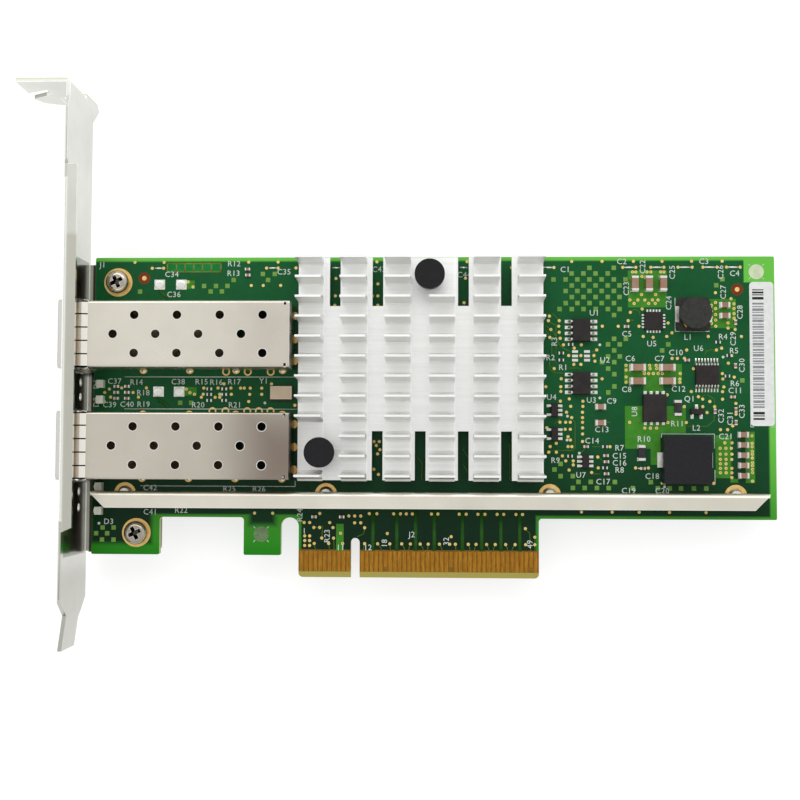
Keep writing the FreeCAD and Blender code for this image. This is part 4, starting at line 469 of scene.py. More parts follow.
# rows of holes: y, then each x; and columns of holes: x, then each y
VIA_ROWS = [
    (67.9, 4.36, 23.84, 46.3, 52.8, 59.5, 65.6, 71.9, 78.4, -48.4, -42.0, -23.5, -17.1), (66.6, 40.0,
    42.5, 57.2, 60.0, 63.2, 66.0, 69.0, 72.0, 74.3, 77.3, 79.3, 82.2, -44.6, -42.1, -19.6, -17.1, -13.2,
    33.4), (64.3, -4.5, 23.5), (63.1, 4.6), (60.5, -4.6, 3.45, 4.6), (59.0, 23.2), (58.45, -4.7, 4.6),
    (29.05, 3.9, 5.05), (28.2, 4.4), (27.3, 5.2), (26.4, 4.7), (23.1, 3.9), (22.0, 4.9), (65.6, 59.3,
    60.0, 62.4, 63.2, 65.3, 66.0), (64.6, 61.3), (62.8, -22.9, -20.3, -16.5), (61.1, 76.9), (60.7, 61.2,
    64.2), (59.8, 80.2), (59.55, 58.7, 60.4, 61.9, 63.5, 64.7), (58.8, 59.6, 62.7, 64.1), (57.6, 61.3),
    (56.9, 58.8), (56.1, 41.5), (55.1, 43.6, 41.3, 58.3), (53.9, 43.5, 52.8, 56.2, 60.6), (53.2, 41.8,
    81.0), (52.6, 43.6), (51.5, 41.6, 63.6), (51.7, 61.5, 82.3, 75.3, 66.5), (51.3, 43.8), (54.6, 79.5,
    66.8), (53.5, 79.5), (52.5, 67.6), (49.9, 44.5, 48.3), (49.2, 46.8, 78.1), (48.8, 51.6, 70.7, 77.0),
    (47.6, 45.6, 48.2, 51.0, 80.2), (47.0, 68.7, 67.6, 70.2), (46.4, 51.2), (46.0, 79.5), (45.7, 46.7,
    48.2), (44.8, 42.5, 62.9, 64.3, 72.1), (45.5, 57.8, 62.8, 64.2), (44.5, 57.8), (43.0, 57.8, 80.7),
    (41.9, 57.8, 69.2), (43.75, 61.7, 62.6, 63.6, 64.6, 65.5, 69.3, 78.2), (42.6, 52.7, 44.0, 69.2,
    78.3), (40.9, 43.9, 40.7, 78.5), (39.9, 43.9, 71.6, 78.2), (39.2, 66.5), (38.3, 45.7, 74.0, 78.2),
    (37.8, 48.6, 43.8, 75.5), (38.8, 73.1), (36.7, 46.0, 48.6, 70.1, 74.0, 76.5), (37.4, 81.0), (35.45,
    48.5, 45.1, 74.9), (34.3, 48.5, 46.2), (33.3, 48.5, 44.9, 43.7, 45.9, 58.5, 66.6, 70.5), (32.1,
    48.5, 61.7, 62.9, 64.2, 40.9), (31.8, 44.8, 45.9, 77.7, 79.2), (30.8, 48.5), (29.2, 48.5), (30.2,
    45.4), (29.5, 45.9), (28.8, 42.9), (28.1, 41.6, 45.4, 46.2, 54.3), (26.9, 41.3, 42.9), (26.1, 44.2),
    (25.05, 44.9, 46.5), (24.2, 46.5), (23.1, 45.6), (25.9, 51.7), (23.6, 51.8, 59.7, 62.4), (22.6,
    50.4), (35.1, 81.0), (32.6, 80.3), (20.4, 65.3, 76.2), (14.2, 48.2, 54.7, 60.4, 66.8, 74.5), (29.0,
    78.6, 80.1), (27.85, 77.6, 78.8, 79.95), (26.6, 77.6, 78.8, 80.05), (25.5, 77.6, 78.8, 80.0),
    (24.55, 77.6, 78.8), (23.6, 77.6, 78.8, 80.0), (22.65, 77.6, 78.8, 80.0), (21.65, 80.0), (63.6,
    -36.7), (62.5, -35.6), (41.4, -28.6, -18.3), (40.5, -50.9, -45.5, -33.0, -29.9, -27.1, -25.0, -24.2,
    -22.9, -20.4), (40.25, -53.6, -36.8), (39.5, -48.4, -54.6, -36.0), (39.15, -33.1, -29.5, -27.0,
    -23.0, -20.4, -35.0), (38.5, -47.2, -53.3, -33.5, -30.5, -29.5), (37.6, -54.7, -23.2), (36.8,
    -13.2), (13.6, -21.7, -17.8, 3.0, 4.6, 8.2, 9.65, 10.9, 12.2, 16.3, 17.65, 22.2, 23.7, 26.2, 27.7,
    30.3, 31.7, 34.3, 35.7, -7.65), (13.1, -1.4, -0.15, 1.15), (11.65, -0.15, 1.15, -11.0, -9.8, -5.5),
    (10.6, -8.9, -7.65, -4.8, 2.0, 36.3), (9.4, -3.15, 6.85), (8.8, -10.85, -9.8, 20.5, 38.3), (7.8,
    -10.85, -9.8), (8.35, -7.2, -4.65), (7.2, -8.8, -5.7, 2.0, 4.8, 7.4, 9.95, 11.8, 13.9, 15.6, 18.0,
    20.2, 21.4, 24.15, 25.8, 28.05, 29.9, 32.1, 34.1, 36.35, 38.3, -2.7), (6.75, -10.85, -9.8),
]
VIA_COLUMNS = [
    (76.9, 53.9, 55.2, 56.4, 57.7, 59.0), (80.8, 55.6, 56.6, 57.7, 58.7), (76.0, 54.5, 55.8, 57.1,
    58.4), (84.33, 30.5, 28.9, 28.2, 27.2, 26.6, 25.8, 24.8, 24.2, 23.4, 22.7, 20.9)]
settle(copies(plated_hole(10, 0.34, 0.035, 0.2, 0.03, 0.02),
              [(x, row[0]) for row in VIA_ROWS for x in row[1:]]
              + [(column[0], y) for column in VIA_COLUMNS for y in column[1:]]),
       "plated_holes", via_gold)

# rings round the press-fit legs of the cages
settle(copies(plated_hole(20, 0.85, 0.03, 0.3, 0.02, 0.2),
              [(x, 44.02) for x in (-28.19, -23.47, -18.5)]
              + [(x, 35.5) for x in (-31.05, -28.25, -23.5, -20.98, -18.47)]
              + [(-13.4, y) for y in (51.04, 46.44, 32.68, 27.77, 22.88)]),
       "cage_leg_rings", pale_gold)

# ------------ solder lands
# Tinned copper under every lead and chip end. Solder climbs from the land up the metal in a
# fillet, so each is wider at the board than at its top.


def solids_in(name):
    """The low and high corner of each separate solid of a carried-over node, in millimetres."""
    twin = bpy.data.objects.new("twin", nodes[name].data.copy())
    bpy.context.collection.objects.link(twin)
    take(twin)
    bpy.ops.object.mode_set(mode="EDIT")
    bpy.ops.mesh.select_all(action="SELECT")
    bpy.ops.mesh.remove_doubles(threshold=0.000001)
    bpy.ops.mesh.separate(type="LOOSE")
    bpy.ops.object.mode_set(mode="OBJECT")
    found = []
    for part in bpy.context.selected_objects[:]:
        spots = [v.co / MM for v in part.data.vertices]
        found.append([[end(s[i] for s in spots) for i in range(3)] for end in (min, max)])
        bpy.data.objects.remove(part)
    return found


def fillets(name, node, along, across, climb):
    """Solder round each metal end of a node: how far it spreads each way, and how high it climbs."""
    heel = solid("cube", size=1.0)
    pick(heel, lambda face: face.normal.z > 0.9)
    bpy.ops.transform.resize(value=(0.72, 0.72, 1.0))
    pick(heel, lambda face: abs(face.normal.z) < 0.9)
    bpy.ops.mesh.subdivide(number_cuts=1)
    bpy.ops.object.mode_set(mode="OBJECT")
    upper = [box for box in solids_in(node) if box[0][2] >= 0.0]
    made = copies(heel, [((low[0] + high[0]) / 2, (low[1] + high[1]) / 2) for low, high in upper])
    for piece, (low, high) in zip(made, upper):
        piece.location.z = (BOARD_FACE - SUNK + climb / 2) * MM
        piece.scale = (high[0] - low[0] + 2 * along, high[1] - low[1] + 2 * across, climb)
    settle(made, name, tinned)


for part, ends, along, across, climb in (
        ("small_capacitor", "ends", 0.08, 0.06, 0.2), ("small_resistor", "ends", 0.08, 0.06, 0.16),
        ("medium_capacitor", "ends", 0.24, 0.24, 0.4), ("large_capacitor", "ends", 0.28, 0.28, 0.5),
        ("sense_resistor", "ends", 0.2, 0.2, 0.25), ("memory_chip", "leads", 0.3, 0.16, 0.06),
        ("regulator", "leads", 0.3, 0.12, 0.06), ("buffer_chip", "leads", 0.06, 0.35, 0.06),
        ("power_transistor", "leads", 0.12, 0.35, 0.06), ("small_transistor", "leads", 0.15, 0.3, 0.06)):
    fillets(part + "_lands", part + "_" + ends, along, across, climb)

# solder left on the lands of parts that are not fitted: a domed blob on each
blob = solid("cube", scale=(2.42, 2.2, 0.3), size=1.0)
pick(blob, lambda face: face.normal.z > 0.9)
bpy.ops.mesh.inset(thickness=0.18 * MM, depth=0.0)
bpy.ops.transform.translate(value=(0.0, 0.0, 0.12 * MM))
bpy.ops.object.mode_set(mode="OBJECT")
softened = blob.modifiers.new("softened", "SUBSURF")
softened.levels = softened.render_levels = 2
softened.subdivision_type = "CATMULL_CLARK"
blob.location.z = (BOARD_FACE + 0.02) * MM
bpy.ops.object.modifier_apply(modifier="softened")
settle(copies(blob, [(-42.95, 63.0), (-38.3, 63.0), (-42.95, 39.65), (-38.3, 39.65)]),
       "solder_blobs", tinned)
settle([strokes([[(x, y), (x + reach, y)] for x, y, reach in (
    (40.3, 66.6, 1.9), (57.5, 66.6, 2.2), (63.5, 66.6, 2.2), (69.3, 66.6, 2.4), (74.6, 66.6, 2.4),
    (79.6, 66.6, 2.3), (-44.2, 66.6, 1.7), (-19.2, 66.6, 1.7), (-5.3, 66.6, 1.6), (22.3, 66.6, 1.6),
    (60.2, 23.5, 1.7))], 0.4, BOARD_FACE, 0.05)], "bare_land_strips", tinned)

# ------------ bare spots
# Places where the mask is left open: a round brown window round each camera target, two round
# tooling spots of bare laminate, and a strip of six test cells edged in gold.

bare_brown = foil_green("bare laminate", "#6A2C14", "#7E3A20")
bare_olive = foil_green("tooling laminate", "#5E7450", "#78906A")
bare_pale = foil_green("pale laminate", "#B8C6A0", "#D2DCBC")
cell_green = foil_green("mask over the cells", "#0C6C2C", "#18803C")
cell_gold = foil_green("mask over the cell edges", "#66702A", "#7C8438")


def disc(corners, radius, thickness, broken, level=BOARD_FACE):
    """A thin round plate with its rims broken, its middle at a level."""
    made = solid("cylinder", (0.0, 0.0, level), vertices=corners, radius=radius, depth=thickness)
    bpy.ops.mesh.bevel(offset=broken * MM, segments=1, affect="EDGES")
    bpy.ops.object.mode_set(mode="OBJECT")
    return made


settle(copies(disc(24, 1.3, 0.02, 0.004), [(81.5, 61.8), (-46.3, 64.4)]),
       "target_windows", bare_brown)
TOOLING_SPOTS = [(85.6, 65.6), (-20.25, 9.1)]
upper_spot, lower_spot = copies(disc(32, 1.62, 0.03, 0.006), TOOLING_SPOTS)
settle([upper_spot], "upper_tooling_spot", bare_pale)
settle([lower_spot], "lower_tooling_spot", bare_olive)

CELL_SIDES = (-41.3, -39.3, -37.4, -35.5, -33.6, -31.65, -29.55)
CELL_LEFT, CELL_RIGHT, CELL_BOTTOM, CELL_TOP = CELL_SIDES[0], CELL_SIDES[-1], 65.8, 67.6
settle([plates([oblong(CELL_LEFT, CELL_BOTTOM, CELL_RIGHT, CELL_TOP)], BOARD_FACE, 0.02)],
       "test_cells", cell_green)
settle([strokes([[(CELL_LEFT, y), (CELL_RIGHT, y)] for y in (CELL_TOP, CELL_BOTTOM)]
                + [[(x, CELL_BOTTOM), (x, CELL_TOP)] for x in CELL_SIDES],
                0.34, BOARD_FACE + 0.015, 0.015)], "test_cell_edges", cell_gold)

# ------------ silkscreen
# White epoxy ink printed on the mask: plain reference numbers, contact numbers, body outlines,
# first-pin dots and the ticks round the tooling spots.

silk = speckled("white ink", 1100.0, "#B9C4BC", "#D6DCD6", (0.5, 0.7), (0.3, 0.01), specular=0.15)
LETTER_HEIGHT, LETTER_SPACING = 1.72, 1.06
INK, INK_SPREAD = 0.03, 0.005
TICK_FROM, TICK_TO = 1.8, 2.35

# letter, then the places of its labels: x, y and, where it reads upwards, its turn
LABELS = {
    "C": [(44.9, 66.1), (57.0, 67.8), (74.5, 67.8), (81.0, 65.2), (58.0, 52.2), (58.7, 46.9), (64.9,
        46.9), (57.9, 40.3), (54.7, 37.8), (68.4, 48.2), (80.9, 40.1), (68.9, 40.4), (52.6, 31.7),
        (50.5, 29.3), (56.3, 26.1), (56.3, 24.6), (52.8, 20.6), (63.2, 21.8), (58.2, 18.7), (65.3,
        18.7), (78.8, 30.3), (61.5, 66.7, 90), (58.0, 62.0, 90), (67.0, 58.9, 90), (67.8, 65.5, 90),
        (78.1, 65.5, 90), (78.6, 61.2, 90), (82.1, 56.9, 90), (80.6, 51.2, 90), (82.4, 45.5, 90), (79.8,
        34.2, 90), (77.9, 34.7, 90), (82.3, 35.7, 90), (-40.3, 65.2), (-15.8, 65.7), (-39.8, 60.8),
        (-52.5, 41.9), (-38.6, 41.8), (-53.5, 36.8), (-49.7, 36.9), (-44.3, 13.7), (-44.4, 18.9), (4.8,
        66.2), (23.2, 65.0)],
    "R": [(44.4, 45.0), (41.7, 47.1), (42.6, 50.6, 90), (78.4, 51.6), (80.7, 48.6), (80.8, 41.6), (56.3,
        27.8), (56.3, 23.1), (42.7, 25.1), (61.5, 29.7), (68.6, 33.0), (-26.7, 67.5), (-26.8, 65.4),
        (-47.7, 41.7), (-33.5, 41.8), (-30.3, 41.7), (-26.4, 41.8), (-46.2, 39.4), (-46.1, 36.9),
        (-34.2, 36.8), (-26.2, 36.8), (-37.6, 14.1), (-6.0, 8.8, 90), (-11.9, 13.2, 90), (-27.2, 18.7),
        (-20.8, 18.7)],
    "U": [(51.1, 56.7), (53.3, 46.6), (50.4, 38.0), (41.9, 38.6), (63.3, 50.1), (73.2, 49.1), (48.1,
        22.0), (59.6, 35.6, 90)],
    "L": [(71.0, 51.5), (72.6, 32.1)], "Q": [(71.2, 38.3)], "Y": [(-20.0, 42.0)],
    "J": [(-55.5, 67.3), (12.1, 9.15)], "D": [(-56.4, 41.3, 90), (-56.4, 37.4, 90), (-53.3, 11.6)],
    "": [(-10.96, 9.8), (-3.15, 6.3), (2.7, 6.35), (6.3, 7.3, 90), (19.5, 7.8, 90), (37.3, 7.3, 90)],
}
CONTACT_NUMBERS = [1, 11, 12, 18, 32, 49]
words = []
for letter, places in LABELS.items():
    for count, (x, y, *turn) in enumerate(places):
        bpy.ops.object.select_all(action="DESELECT")
        bpy.ops.object.text_add(location=(x * MM, y * MM, (BOARD_FACE + INK) * MM),
                                rotation=(0.0, 0.0, math.radians(turn[0]) if turn else 0.0))
        word = bpy.context.object
        word.data.body = letter + str(count + 1 if letter else CONTACT_NUMBERS[count])
        word.data.size = LETTER_HEIGHT * MM
        word.data.extrude = INK / 2 * MM
        word.data.offset = INK_SPREAD * MM
        word.data.space_character = LETTER_SPACING
        word.data.resolution_u = 2
        word.data.align_x, word.data.align_y = "CENTER", "CENTER"
        words.append(to_mesh(word))
settle(words, "silkscreen_labels", silk)

ticks = []
for x, y in TOOLING_SPOTS:
    for turn in (45, 135, 225, 315):
        right, up = math.cos(math.radians(turn)), math.sin(math.radians(turn))
        ticks.append([(x + reach * right, y + reach * up) for reach in (TICK_FROM, TICK_TO)])
settle([strokes([
    [(-50.3, 42.9), (-12.6, 42.9)], [(-50.3, 35.95), (-12.6, 35.95)], [(-46.5, 19.35), (-13.0, 19.35),
    (-13.0, 20.6)], [(68.3, 60.0), (68.3, 52.8), (75.6, 52.8)], [(65.2, 27.6), (65.2, 30.85), (76.4,
    30.85), (76.4, 27.8)], [(76.45, 23.2), (76.45, 20.3), (75.9, 20.2)], [(65.2, 23.2), (65.2, 20.3),
    (66.0, 20.2)], [(84.1, 33.4), (84.1, 32.4), (84.8, 32.4)], [(89.0, 33.4), (89.0, 32.4), (88.4,
    32.4)],
] + ticks, 0.2, BOARD_FACE + 0.02, 0.015)], "silkscreen_lines", silk)

settle(copies(disc(12, 0.3, INK, 0.006, BOARD_FACE + 0.02), [
    (52.25, 49.9), (52.2, 38.5), (78.4, 47.3), (45.3, 34.6), (45.2, 29.5), (47.8, 26.7), (65.8, 19.6),
    (-19.7, 37.3), (-55.4, 11.25)]), "first_pin_dots", silk)

# ------------ bracket and its screws
# Cold-rolled steel sheet, punched, folded and plated with dull nickel. Its edges are brighter,
# partly where handling rubs them and partly as a painted highlight. The screws are brighter zinc,
# with painted shade in their recesses.

# edges made brighter, partly as wear and partly as a painted highlight, found by how far a
# rounded normal leaves the true one
edge_group, given, made = new_group(
    "worn and highlit edges", [("Radius", "Float"), ("Break", "Float")], [("Mask", "Float")])
rounded = add_node(edge_group, "ShaderNodeBevel", {"Radius": given["Radius"]}, samples=4)
flat = add_node(edge_group, "ShaderNodeNewGeometry")
agree = add_node(edge_group, "ShaderNodeVectorMath",
                 {0: rounded.outputs[0], 1: flat.outputs["Normal"]}, operation="DOT_PRODUCT")
bare = ramp(edge_group, agree.outputs["Value"], 0.99, 0.8)
edge_group.links.new(reckon(edge_group, "MULTIPLY", bare, given["Break"]), made["Mask"])


def rubbed_edges(tree, radius, broken_by):
    return use_group(tree, edge_group, {"Radius": radius * MM, "Break": broken_by})["Mask"]


def plated_sheet(name, low, high, edge, roughness, stretch=(1.0, 1.0, 1.0), scale=260.0):
    """A plated sheet metal: two tones, its grain, and a painted highlight on its worn edges."""
    material, tree, shader, where = new_finish(name, roughness, metallic=1.0)
    rolled = grain(tree, where, scale, stretch)
    clouds = grain(tree, where, 60.0)
    tone = blend(tree, ramp(tree, clouds, 0.0, 1.0, 0.15, 0.85), shade(low), shade(high))
    tone = blend(tree, ramp(tree, rolled, 0.0, 1.0, 0.0, 0.2), tone, shade(low))
    # the edges: partly handling wear, partly a painted highlight
    rubbed = rubbed_edges(tree, 0.3, ramp(tree, rolled, 0.2, 0.7, 0.6, 1.0))
    surface(tree, shader, blend(tree, rubbed, tone, shade(edge)), rolled,
            (roughness - 0.04, roughness + 0.06), (0.06, 0.02))
    return material


def stain(material, stains):
    """Tones laid over a plated sheet where it is tarnished or shadowed: a box, how strong, a tint."""
    tree = material.node_tree
    colour = tree.nodes["Principled BSDF"].inputs["Base Color"]
    where = add_node(tree, "ShaderNodeTexCoord").outputs["Object"]
    for box, strength, tint in stains:
        mask = reckon(tree, "MULTIPLY", field(tree, where, *box), strength)
        tree.links.new(blend(tree, mask, colour.links[0].from_socket, shade(tint)), colour)
    return material


dress(stain(plated_sheet("dull nickel", "#C9CAC2", "#DFE0D8", "#FFFFFA", 0.2), [
    # the near edge, and a painted highlight on the fold along it
    ((-90.0, -40.0, -40.0, 72.5, 1.5, 12.8, 20.0), 0.8, "#BFBDB1"),
    ((-90.0, 12.0, -59.2, 84.0, 0.5, 12.0, 20.0), 0.9, "#F8F8F2"),
    # the tab; painted shade and a painted reflection of the dark board on the inner face behind the
    # board's edge; and painted shadow on the lip under the board
    ((-90.0, 104.7, -40.0, 120.0, 0.1), 0.8, "#C6C5AC"),
    ((-59.85, 4.5, -57.6, 68.5, 0.4, -3.0, 12.4), 0.75, "#66635A"),
    ((-58.9, -20.0, -40.0, 75.0, 0.3, -3.9, 1.7), 1.0, "#4E443E"),
    # the lower tongue
    ((-90.0, -40.0, -45.0, 5.0, 6.0), 0.8, "#B2B1A9")]), "mounting_bracket")
lowest, highest = (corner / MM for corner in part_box("bracket_screws"))
RECESS_REACH, RECESS_START, HEAD_REACH = 1.6, 0.4, 2.5
SCREWS = ((lowest.x + HEAD_REACH, highest.y - HEAD_REACH),
          (highest.x - HEAD_REACH, lowest.y + HEAD_REACH))
# painted shade in the recess of each screw head
dress(stain(plated_sheet("bright zinc", "#8E8678", "#D8D0C2", "#FFFFFF", 0.1), [
    ((x - RECESS_REACH, y - RECESS_REACH, x + RECESS_REACH, y + RECESS_REACH, 0.1,
      -9.0, highest.z - RECESS_START), 0.9, "#2E2820") for x, y in SCREWS]), "bracket_screws")

# ------------ port cages
# Copper-alloy sheet, stamped, folded and plated with warm bright nickel. Each spring collar is a
# separate stamping of thin plated spring copper, wrapped round the cage's mouth.

VENT_SIZE, VENT_PITCH, VENT_ROW = 1.8, 9.0, 4.0
MIDDLE_VENTS, OUTER_VENTS = -50.42, -45.92
RIM_REACH, RIM_WIDTH, RIM_RISE = 0.16, 0.15, 0.03
SHEET = 0.4
rim_bright = plated_sheet("punched rim", "#D8D2C6", "#F0ECE2", "#FFFFFA", 0.2)
for port, tarnish_and_shade in (("port_1", 0.2), ("port_2", 0.85)):
    lowest, highest = (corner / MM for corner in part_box(port + "_cage_cover"))
    nickel = plated_sheet("warm nickel of " + port, "#D9D4C6", "#E8E3D6", "#FFFDF6", 0.24, scale=60.0)
    dress(stain(nickel, [
        # the far end, partly tarnished and partly darkened by painted shade, and a painted darker
        # reflection over the lower half of the card
        ((-33.0, 6.0, highest.x + 30.0, highest.y + 10.0, 18.0), tarnish_and_shade, "#6A544A"),
        ((-90.0, -40.0, 90.0, 46.0, 4.0), 0.35, "#A09688"),
        # painted shade on the inside, seen through the vents, and in the mouth behind the bracket
        ((lowest.x - 5.0, lowest.y + SHEET, highest.x - SHEET, highest.y - SHEET, 0.08,
          -9.0, highest.z - 0.27), 1.0, "#B8A894"),
        ((lowest.x - 9.0, lowest.y - 9.0, -55.72, highest.y + 9.0, 0.05), 1.0, "#2E2820"),
    ]), port + "_cage_cover", port + "_cage_floor")
    # the punch leaves a thin raised rim round each vent
    rim = solid("cylinder", (0.0, 0.0, highest.z), vertices=24, radius=VENT_SIZE / 2 + RIM_REACH,
                depth=2 * RIM_RISE)
    pick(rim, lambda face: abs(face.normal.z) > 0.9)
    bpy.ops.mesh.inset(thickness=RIM_WIDTH * MM, depth=0.0)
    bpy.ops.mesh.bridge_edge_loops()
    bpy.ops.object.mode_set(mode="OBJECT")
    centre = (lowest.y + highest.y) / 2
    settle(copies(rim, [(start + step * VENT_PITCH, centre + row * VENT_ROW)
                        for row, start in ((1, OUTER_VENTS), (0, MIDDLE_VENTS), (-1, OUTER_VENTS))
                        for step in range(4)]), port + "_vent_rims", rim_bright)
dress(stain(plated_sheet("spring copper", "#F4F0E6", "#FEFAF0", "#FFFFFA", 0.26, (5.0, 0.6, 1.0), 300.0),
            # painted shade on the collar next to the bracket
            [((-58.6, -90.0, -56.9, 90.0, 0.15), 0.7, "#B09C82"),
             ((-90.0, -90.0, -60.4, 90.0, 0.3), 0.6, "#B8BAB4")]),
      "port_1_spring_collar", "port_2_spring_collar")
dress(speckled("moulded black resin", 2200.0, "#17171A", "#232327", (0.45, 0.65), (0.3, 0.03),
               specular=0.3), "port_1_connector_housing", "port_2_connector_housing")

# ------------ heat sink
# Aluminium extruded with its fins along the card, then sawn across into columns and left bare.
# Extrusion lines run along the fins and the sawn ends are brighter. The fin tops and edges are
# painted near white, partly rubbed and partly a painted highlight.

bare_aluminium, tree, shader, where = new_finish("bare aluminium", 0.42, metallic=1.0)
drawn = grain(tree, where, 160.0, (0.25, 8.0, 8.0))
frosted = grain(tree, where, 1500.0)
tone = blend(tree, drawn, shade("#EAEAE8"), shade("#F6F6F4"))
tone = blend(tree, ramp(tree, frosted, 0.0, 1.0, 0.0, 0.3), tone, shade("#E6E6E4"))
COLUMN_START, COLUMN_WIDTH, COLUMN_PITCH = -12.1, 5.4, 9.3
along = add_node(tree, "ShaderNodeSeparateXYZ", {0: where}).outputs["X"]
along = reckon(tree, "SUBTRACT", along, COLUMN_START * MM, clamp=False)
along = reckon(tree, "DIVIDE", along, COLUMN_PITCH * MM, clamp=False)
along = reckon(tree, "FRACT", along, clamp=False)
SAWN_FROM = COLUMN_WIDTH / COLUMN_PITCH
unsawn = ramp(tree, along, SAWN_FROM, SAWN_FROM + 0.006, 1.0, 0.0)
tone = blend(tree, unsawn, tone, blend(tree, drawn, shade("#ECECEA"), shade("#F8F8F6")))
edge_line = reckon(tree, "SUBTRACT", along, SAWN_FROM, clamp=False)
edge_line = reckon(tree, "ABSOLUTE", edge_line, clamp=False)
tone = blend(tree, ramp(tree, edge_line, 0.008, 0.018, 0.7, 0.0), tone, shade("#FFFFFF"))
# fin tops and edges whitened: partly rubbed, partly a painted highlight
rubbed = rubbed_edges(tree, 0.2, ramp(tree, frosted, 0.1, 0.6, 0.4, 1.0))
surface(tree, shader, blend(tree, rubbed, tone, shade("#FFFFFF")), drawn, (0.42, 0.56), (0.35, 0.03))
dress(bare_aluminium, "heat_sink")

# ------------ push pins and springs
# Black nylon pins, moulded with a round head and slightly glossy, and plain steel compression
# springs under their heads.

nylon = speckled("black nylon", 1800.0, "#101012", "#1A1A1D", (0.38, 0.56), (0.25, 0.03), specular=0.2)
dress(nylon, "push_pin_upper", "push_pin_lower")
dress(plated_sheet("spring steel", "#9A9A98", "#B8B8B4", "#DADAD6", 0.3), "push_pin_spring_upper",
      "push_pin_spring_lower")

# ------------ controller under the heat sink
# A green laminate substrate, a nickel-plated lid and a soft grey thermal pad. Only their edges
# show, in the shade between the heat sink and the board.

dress(mask_green, "controller_substrate")
dress(plated_sheet("lid nickel", "#B9B7B0", "#D6D4CC", "#F2F0EA", 0.32), "controller_lid")
dress(speckled("thermal pad", 900.0, "#8C8E96", "#A2A4AB", (0.8,), (0.3, 0.05), specular=0.2),
      "thermal_pad")

# ------------ stiffener bar
# Tin-plated steel strip, folded to an angle with mitred ends. Faint rolling lines run along it,
# and its fold and edges are bright, partly from wear and partly as a painted highlight.

dress(plated_sheet("tinned steel", "#D4D1C3", "#EEEADC", "#FFFFFA", 0.34, (0.3, 4.0, 4.0), 200.0),
      "stiffener_bar")

# ------------ chip packages
# Filled epoxy moulding compound: nearly black and matt, with a fine mineral speckle over faint
# brownish clouds.

epoxy, tree, shader, where = new_finish("moulding compound", 0.6, specular=0.18)
speckle = grain(tree, where, 2600.0)
clouds = grain(tree, where, 380.0)
tone = blend(tree, clouds, shade("#231F20"), shade("#302B2A"))
tone = blend(tree, ramp(tree, speckle, 0.5, 1.0, 0.0, 0.35), tone, shade("#3C3638"))
surface(tree, shader, tone, speckle, (0.5, 0.7), (0.3, 0.02))
dress(epoxy, "memory_chip_bodies", "clock_chip_body", "buffer_chip_body", "power_transistor_body",
      "regulator_bodies", "small_transistor_body")

# ------------ two-terminal chips
# Capacitors are fired ceramic, tan-brown and finely mottled. Resistors are ceramic under a black
# glaze, which shines a little more.

fired_tan, tree, shader, where = new_finish("fired ceramic", 0.42, specular=0.35)
mottle = grain(tree, where, 1300.0)
clouds = grain(tree, where, 300.0)
tone = blend(tree, clouds, shade("#8F6B58"), shade("#A98570"))
tone = blend(tree, ramp(tree, mottle, 0.0, 1.0, 0.0, 0.3), tone, shade("#7A5846"))
surface(tree, shader, tone, mottle, (0.36, 0.5), (0.2, 0.02))
dress(fired_tan, "large_capacitor_bodies", "medium_capacitor_bodies", "small_capacitor_bodies",
      "solder_side_capacitors")

dress(speckled("black glaze", 1100.0, "#19191B", "#29292C", (0.22, 0.4), (0.25, 0.03), specular=0.4),
      "sense_resistor_bodies", "small_resistor_bodies")

# ------------ inductors
# Pressed or sintered ferrite: dark grey, matt and slightly porous. Of the winding only two ends
# show, where they come down the round one's drum.

dress(speckled("ferrite", 1700.0, "#1C1C1A", "#34342F", (0.5, 0.7), (0.35, 0.03), specular=0.3),
      "round_inductor_base", "round_inductor_core")

# the winding's two ends, bent down the drum to the terminals: one lacquered, one bare
lowest, highest = (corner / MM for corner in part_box("round_inductor_core"))
WIRE_WIDTH = 0.5


def bent_wire(name, points, material):
    """A round wire bent smoothly through points."""
    drawn = bpy.data.curves.new(name, "CURVE")
    drawn.dimensions, drawn.use_fill_caps = "3D", True
    drawn.bevel_depth, drawn.bevel_resolution = WIRE_WIDTH / 2 * MM, 2
    path = trace(drawn, points, "NURBS")
    path.order_u, path.use_endpoint_u, path.resolution_u = 3, True, 6
    piece = bpy.data.objects.new(name, drawn)
    bpy.context.collection.objects.link(piece)
    settle([to_mesh(piece)], name, material)


copper_wire = plated_sheet("bare copper", "#B07C40", "#D8A868", "#F8DCA8", 0.25)
bent_wire("winding_end_lower", [
    (lowest.x + 0.7, lowest.y + 2.6, highest.z - 1.2),
    (lowest.x + 0.9, lowest.y + 1.5, highest.z - 1.6),
    (lowest.x + 1.7, lowest.y + 0.5, highest.z - 2.4)], copper_wire)
bent_wire("winding_end_upper", [
    (highest.x - 2.4, highest.y - 0.8, highest.z - 1.2),
    (highest.x - 1.2, highest.y - 1.0, highest.z - 1.5),
    (highest.x - 0.5, highest.y - 2.0, highest.z - 2.4)], nylon)

dress(speckled("pressed powder", 1500.0, "#101013", "#1C1C20", (0.42, 0.62), (0.4, 0.04), specular=0.25),
      "square_inductor_body")

# ------------ crystal, lamps and label
# A brown fired ceramic tub under the crystal's brownish plated lid, clear resin lamps, and a
# coated paper sticker with a column of plain bars.

dress(plated_sheet("crystal lid", "#A29078", "#C2B198", "#E8DCC8", 0.3, scale=700.0), "crystal_lid")
dress(speckled("tub ceramic", 1400.0, "#4A3A30", "#5E4C40", (0.5,), (0.25, 0.02), specular=0.3),
      "crystal_base")
dress(speckled("clear resin", 800.0, "#D8D8C8", "#F2F2E6", (0.1, 0.28)), "status_lights")
dress(speckled("coated paper", 900.0, "#D4D6D3", "#E2E4E1", (0.5,), (0.15, 0.02), specular=0.3),
      "label")

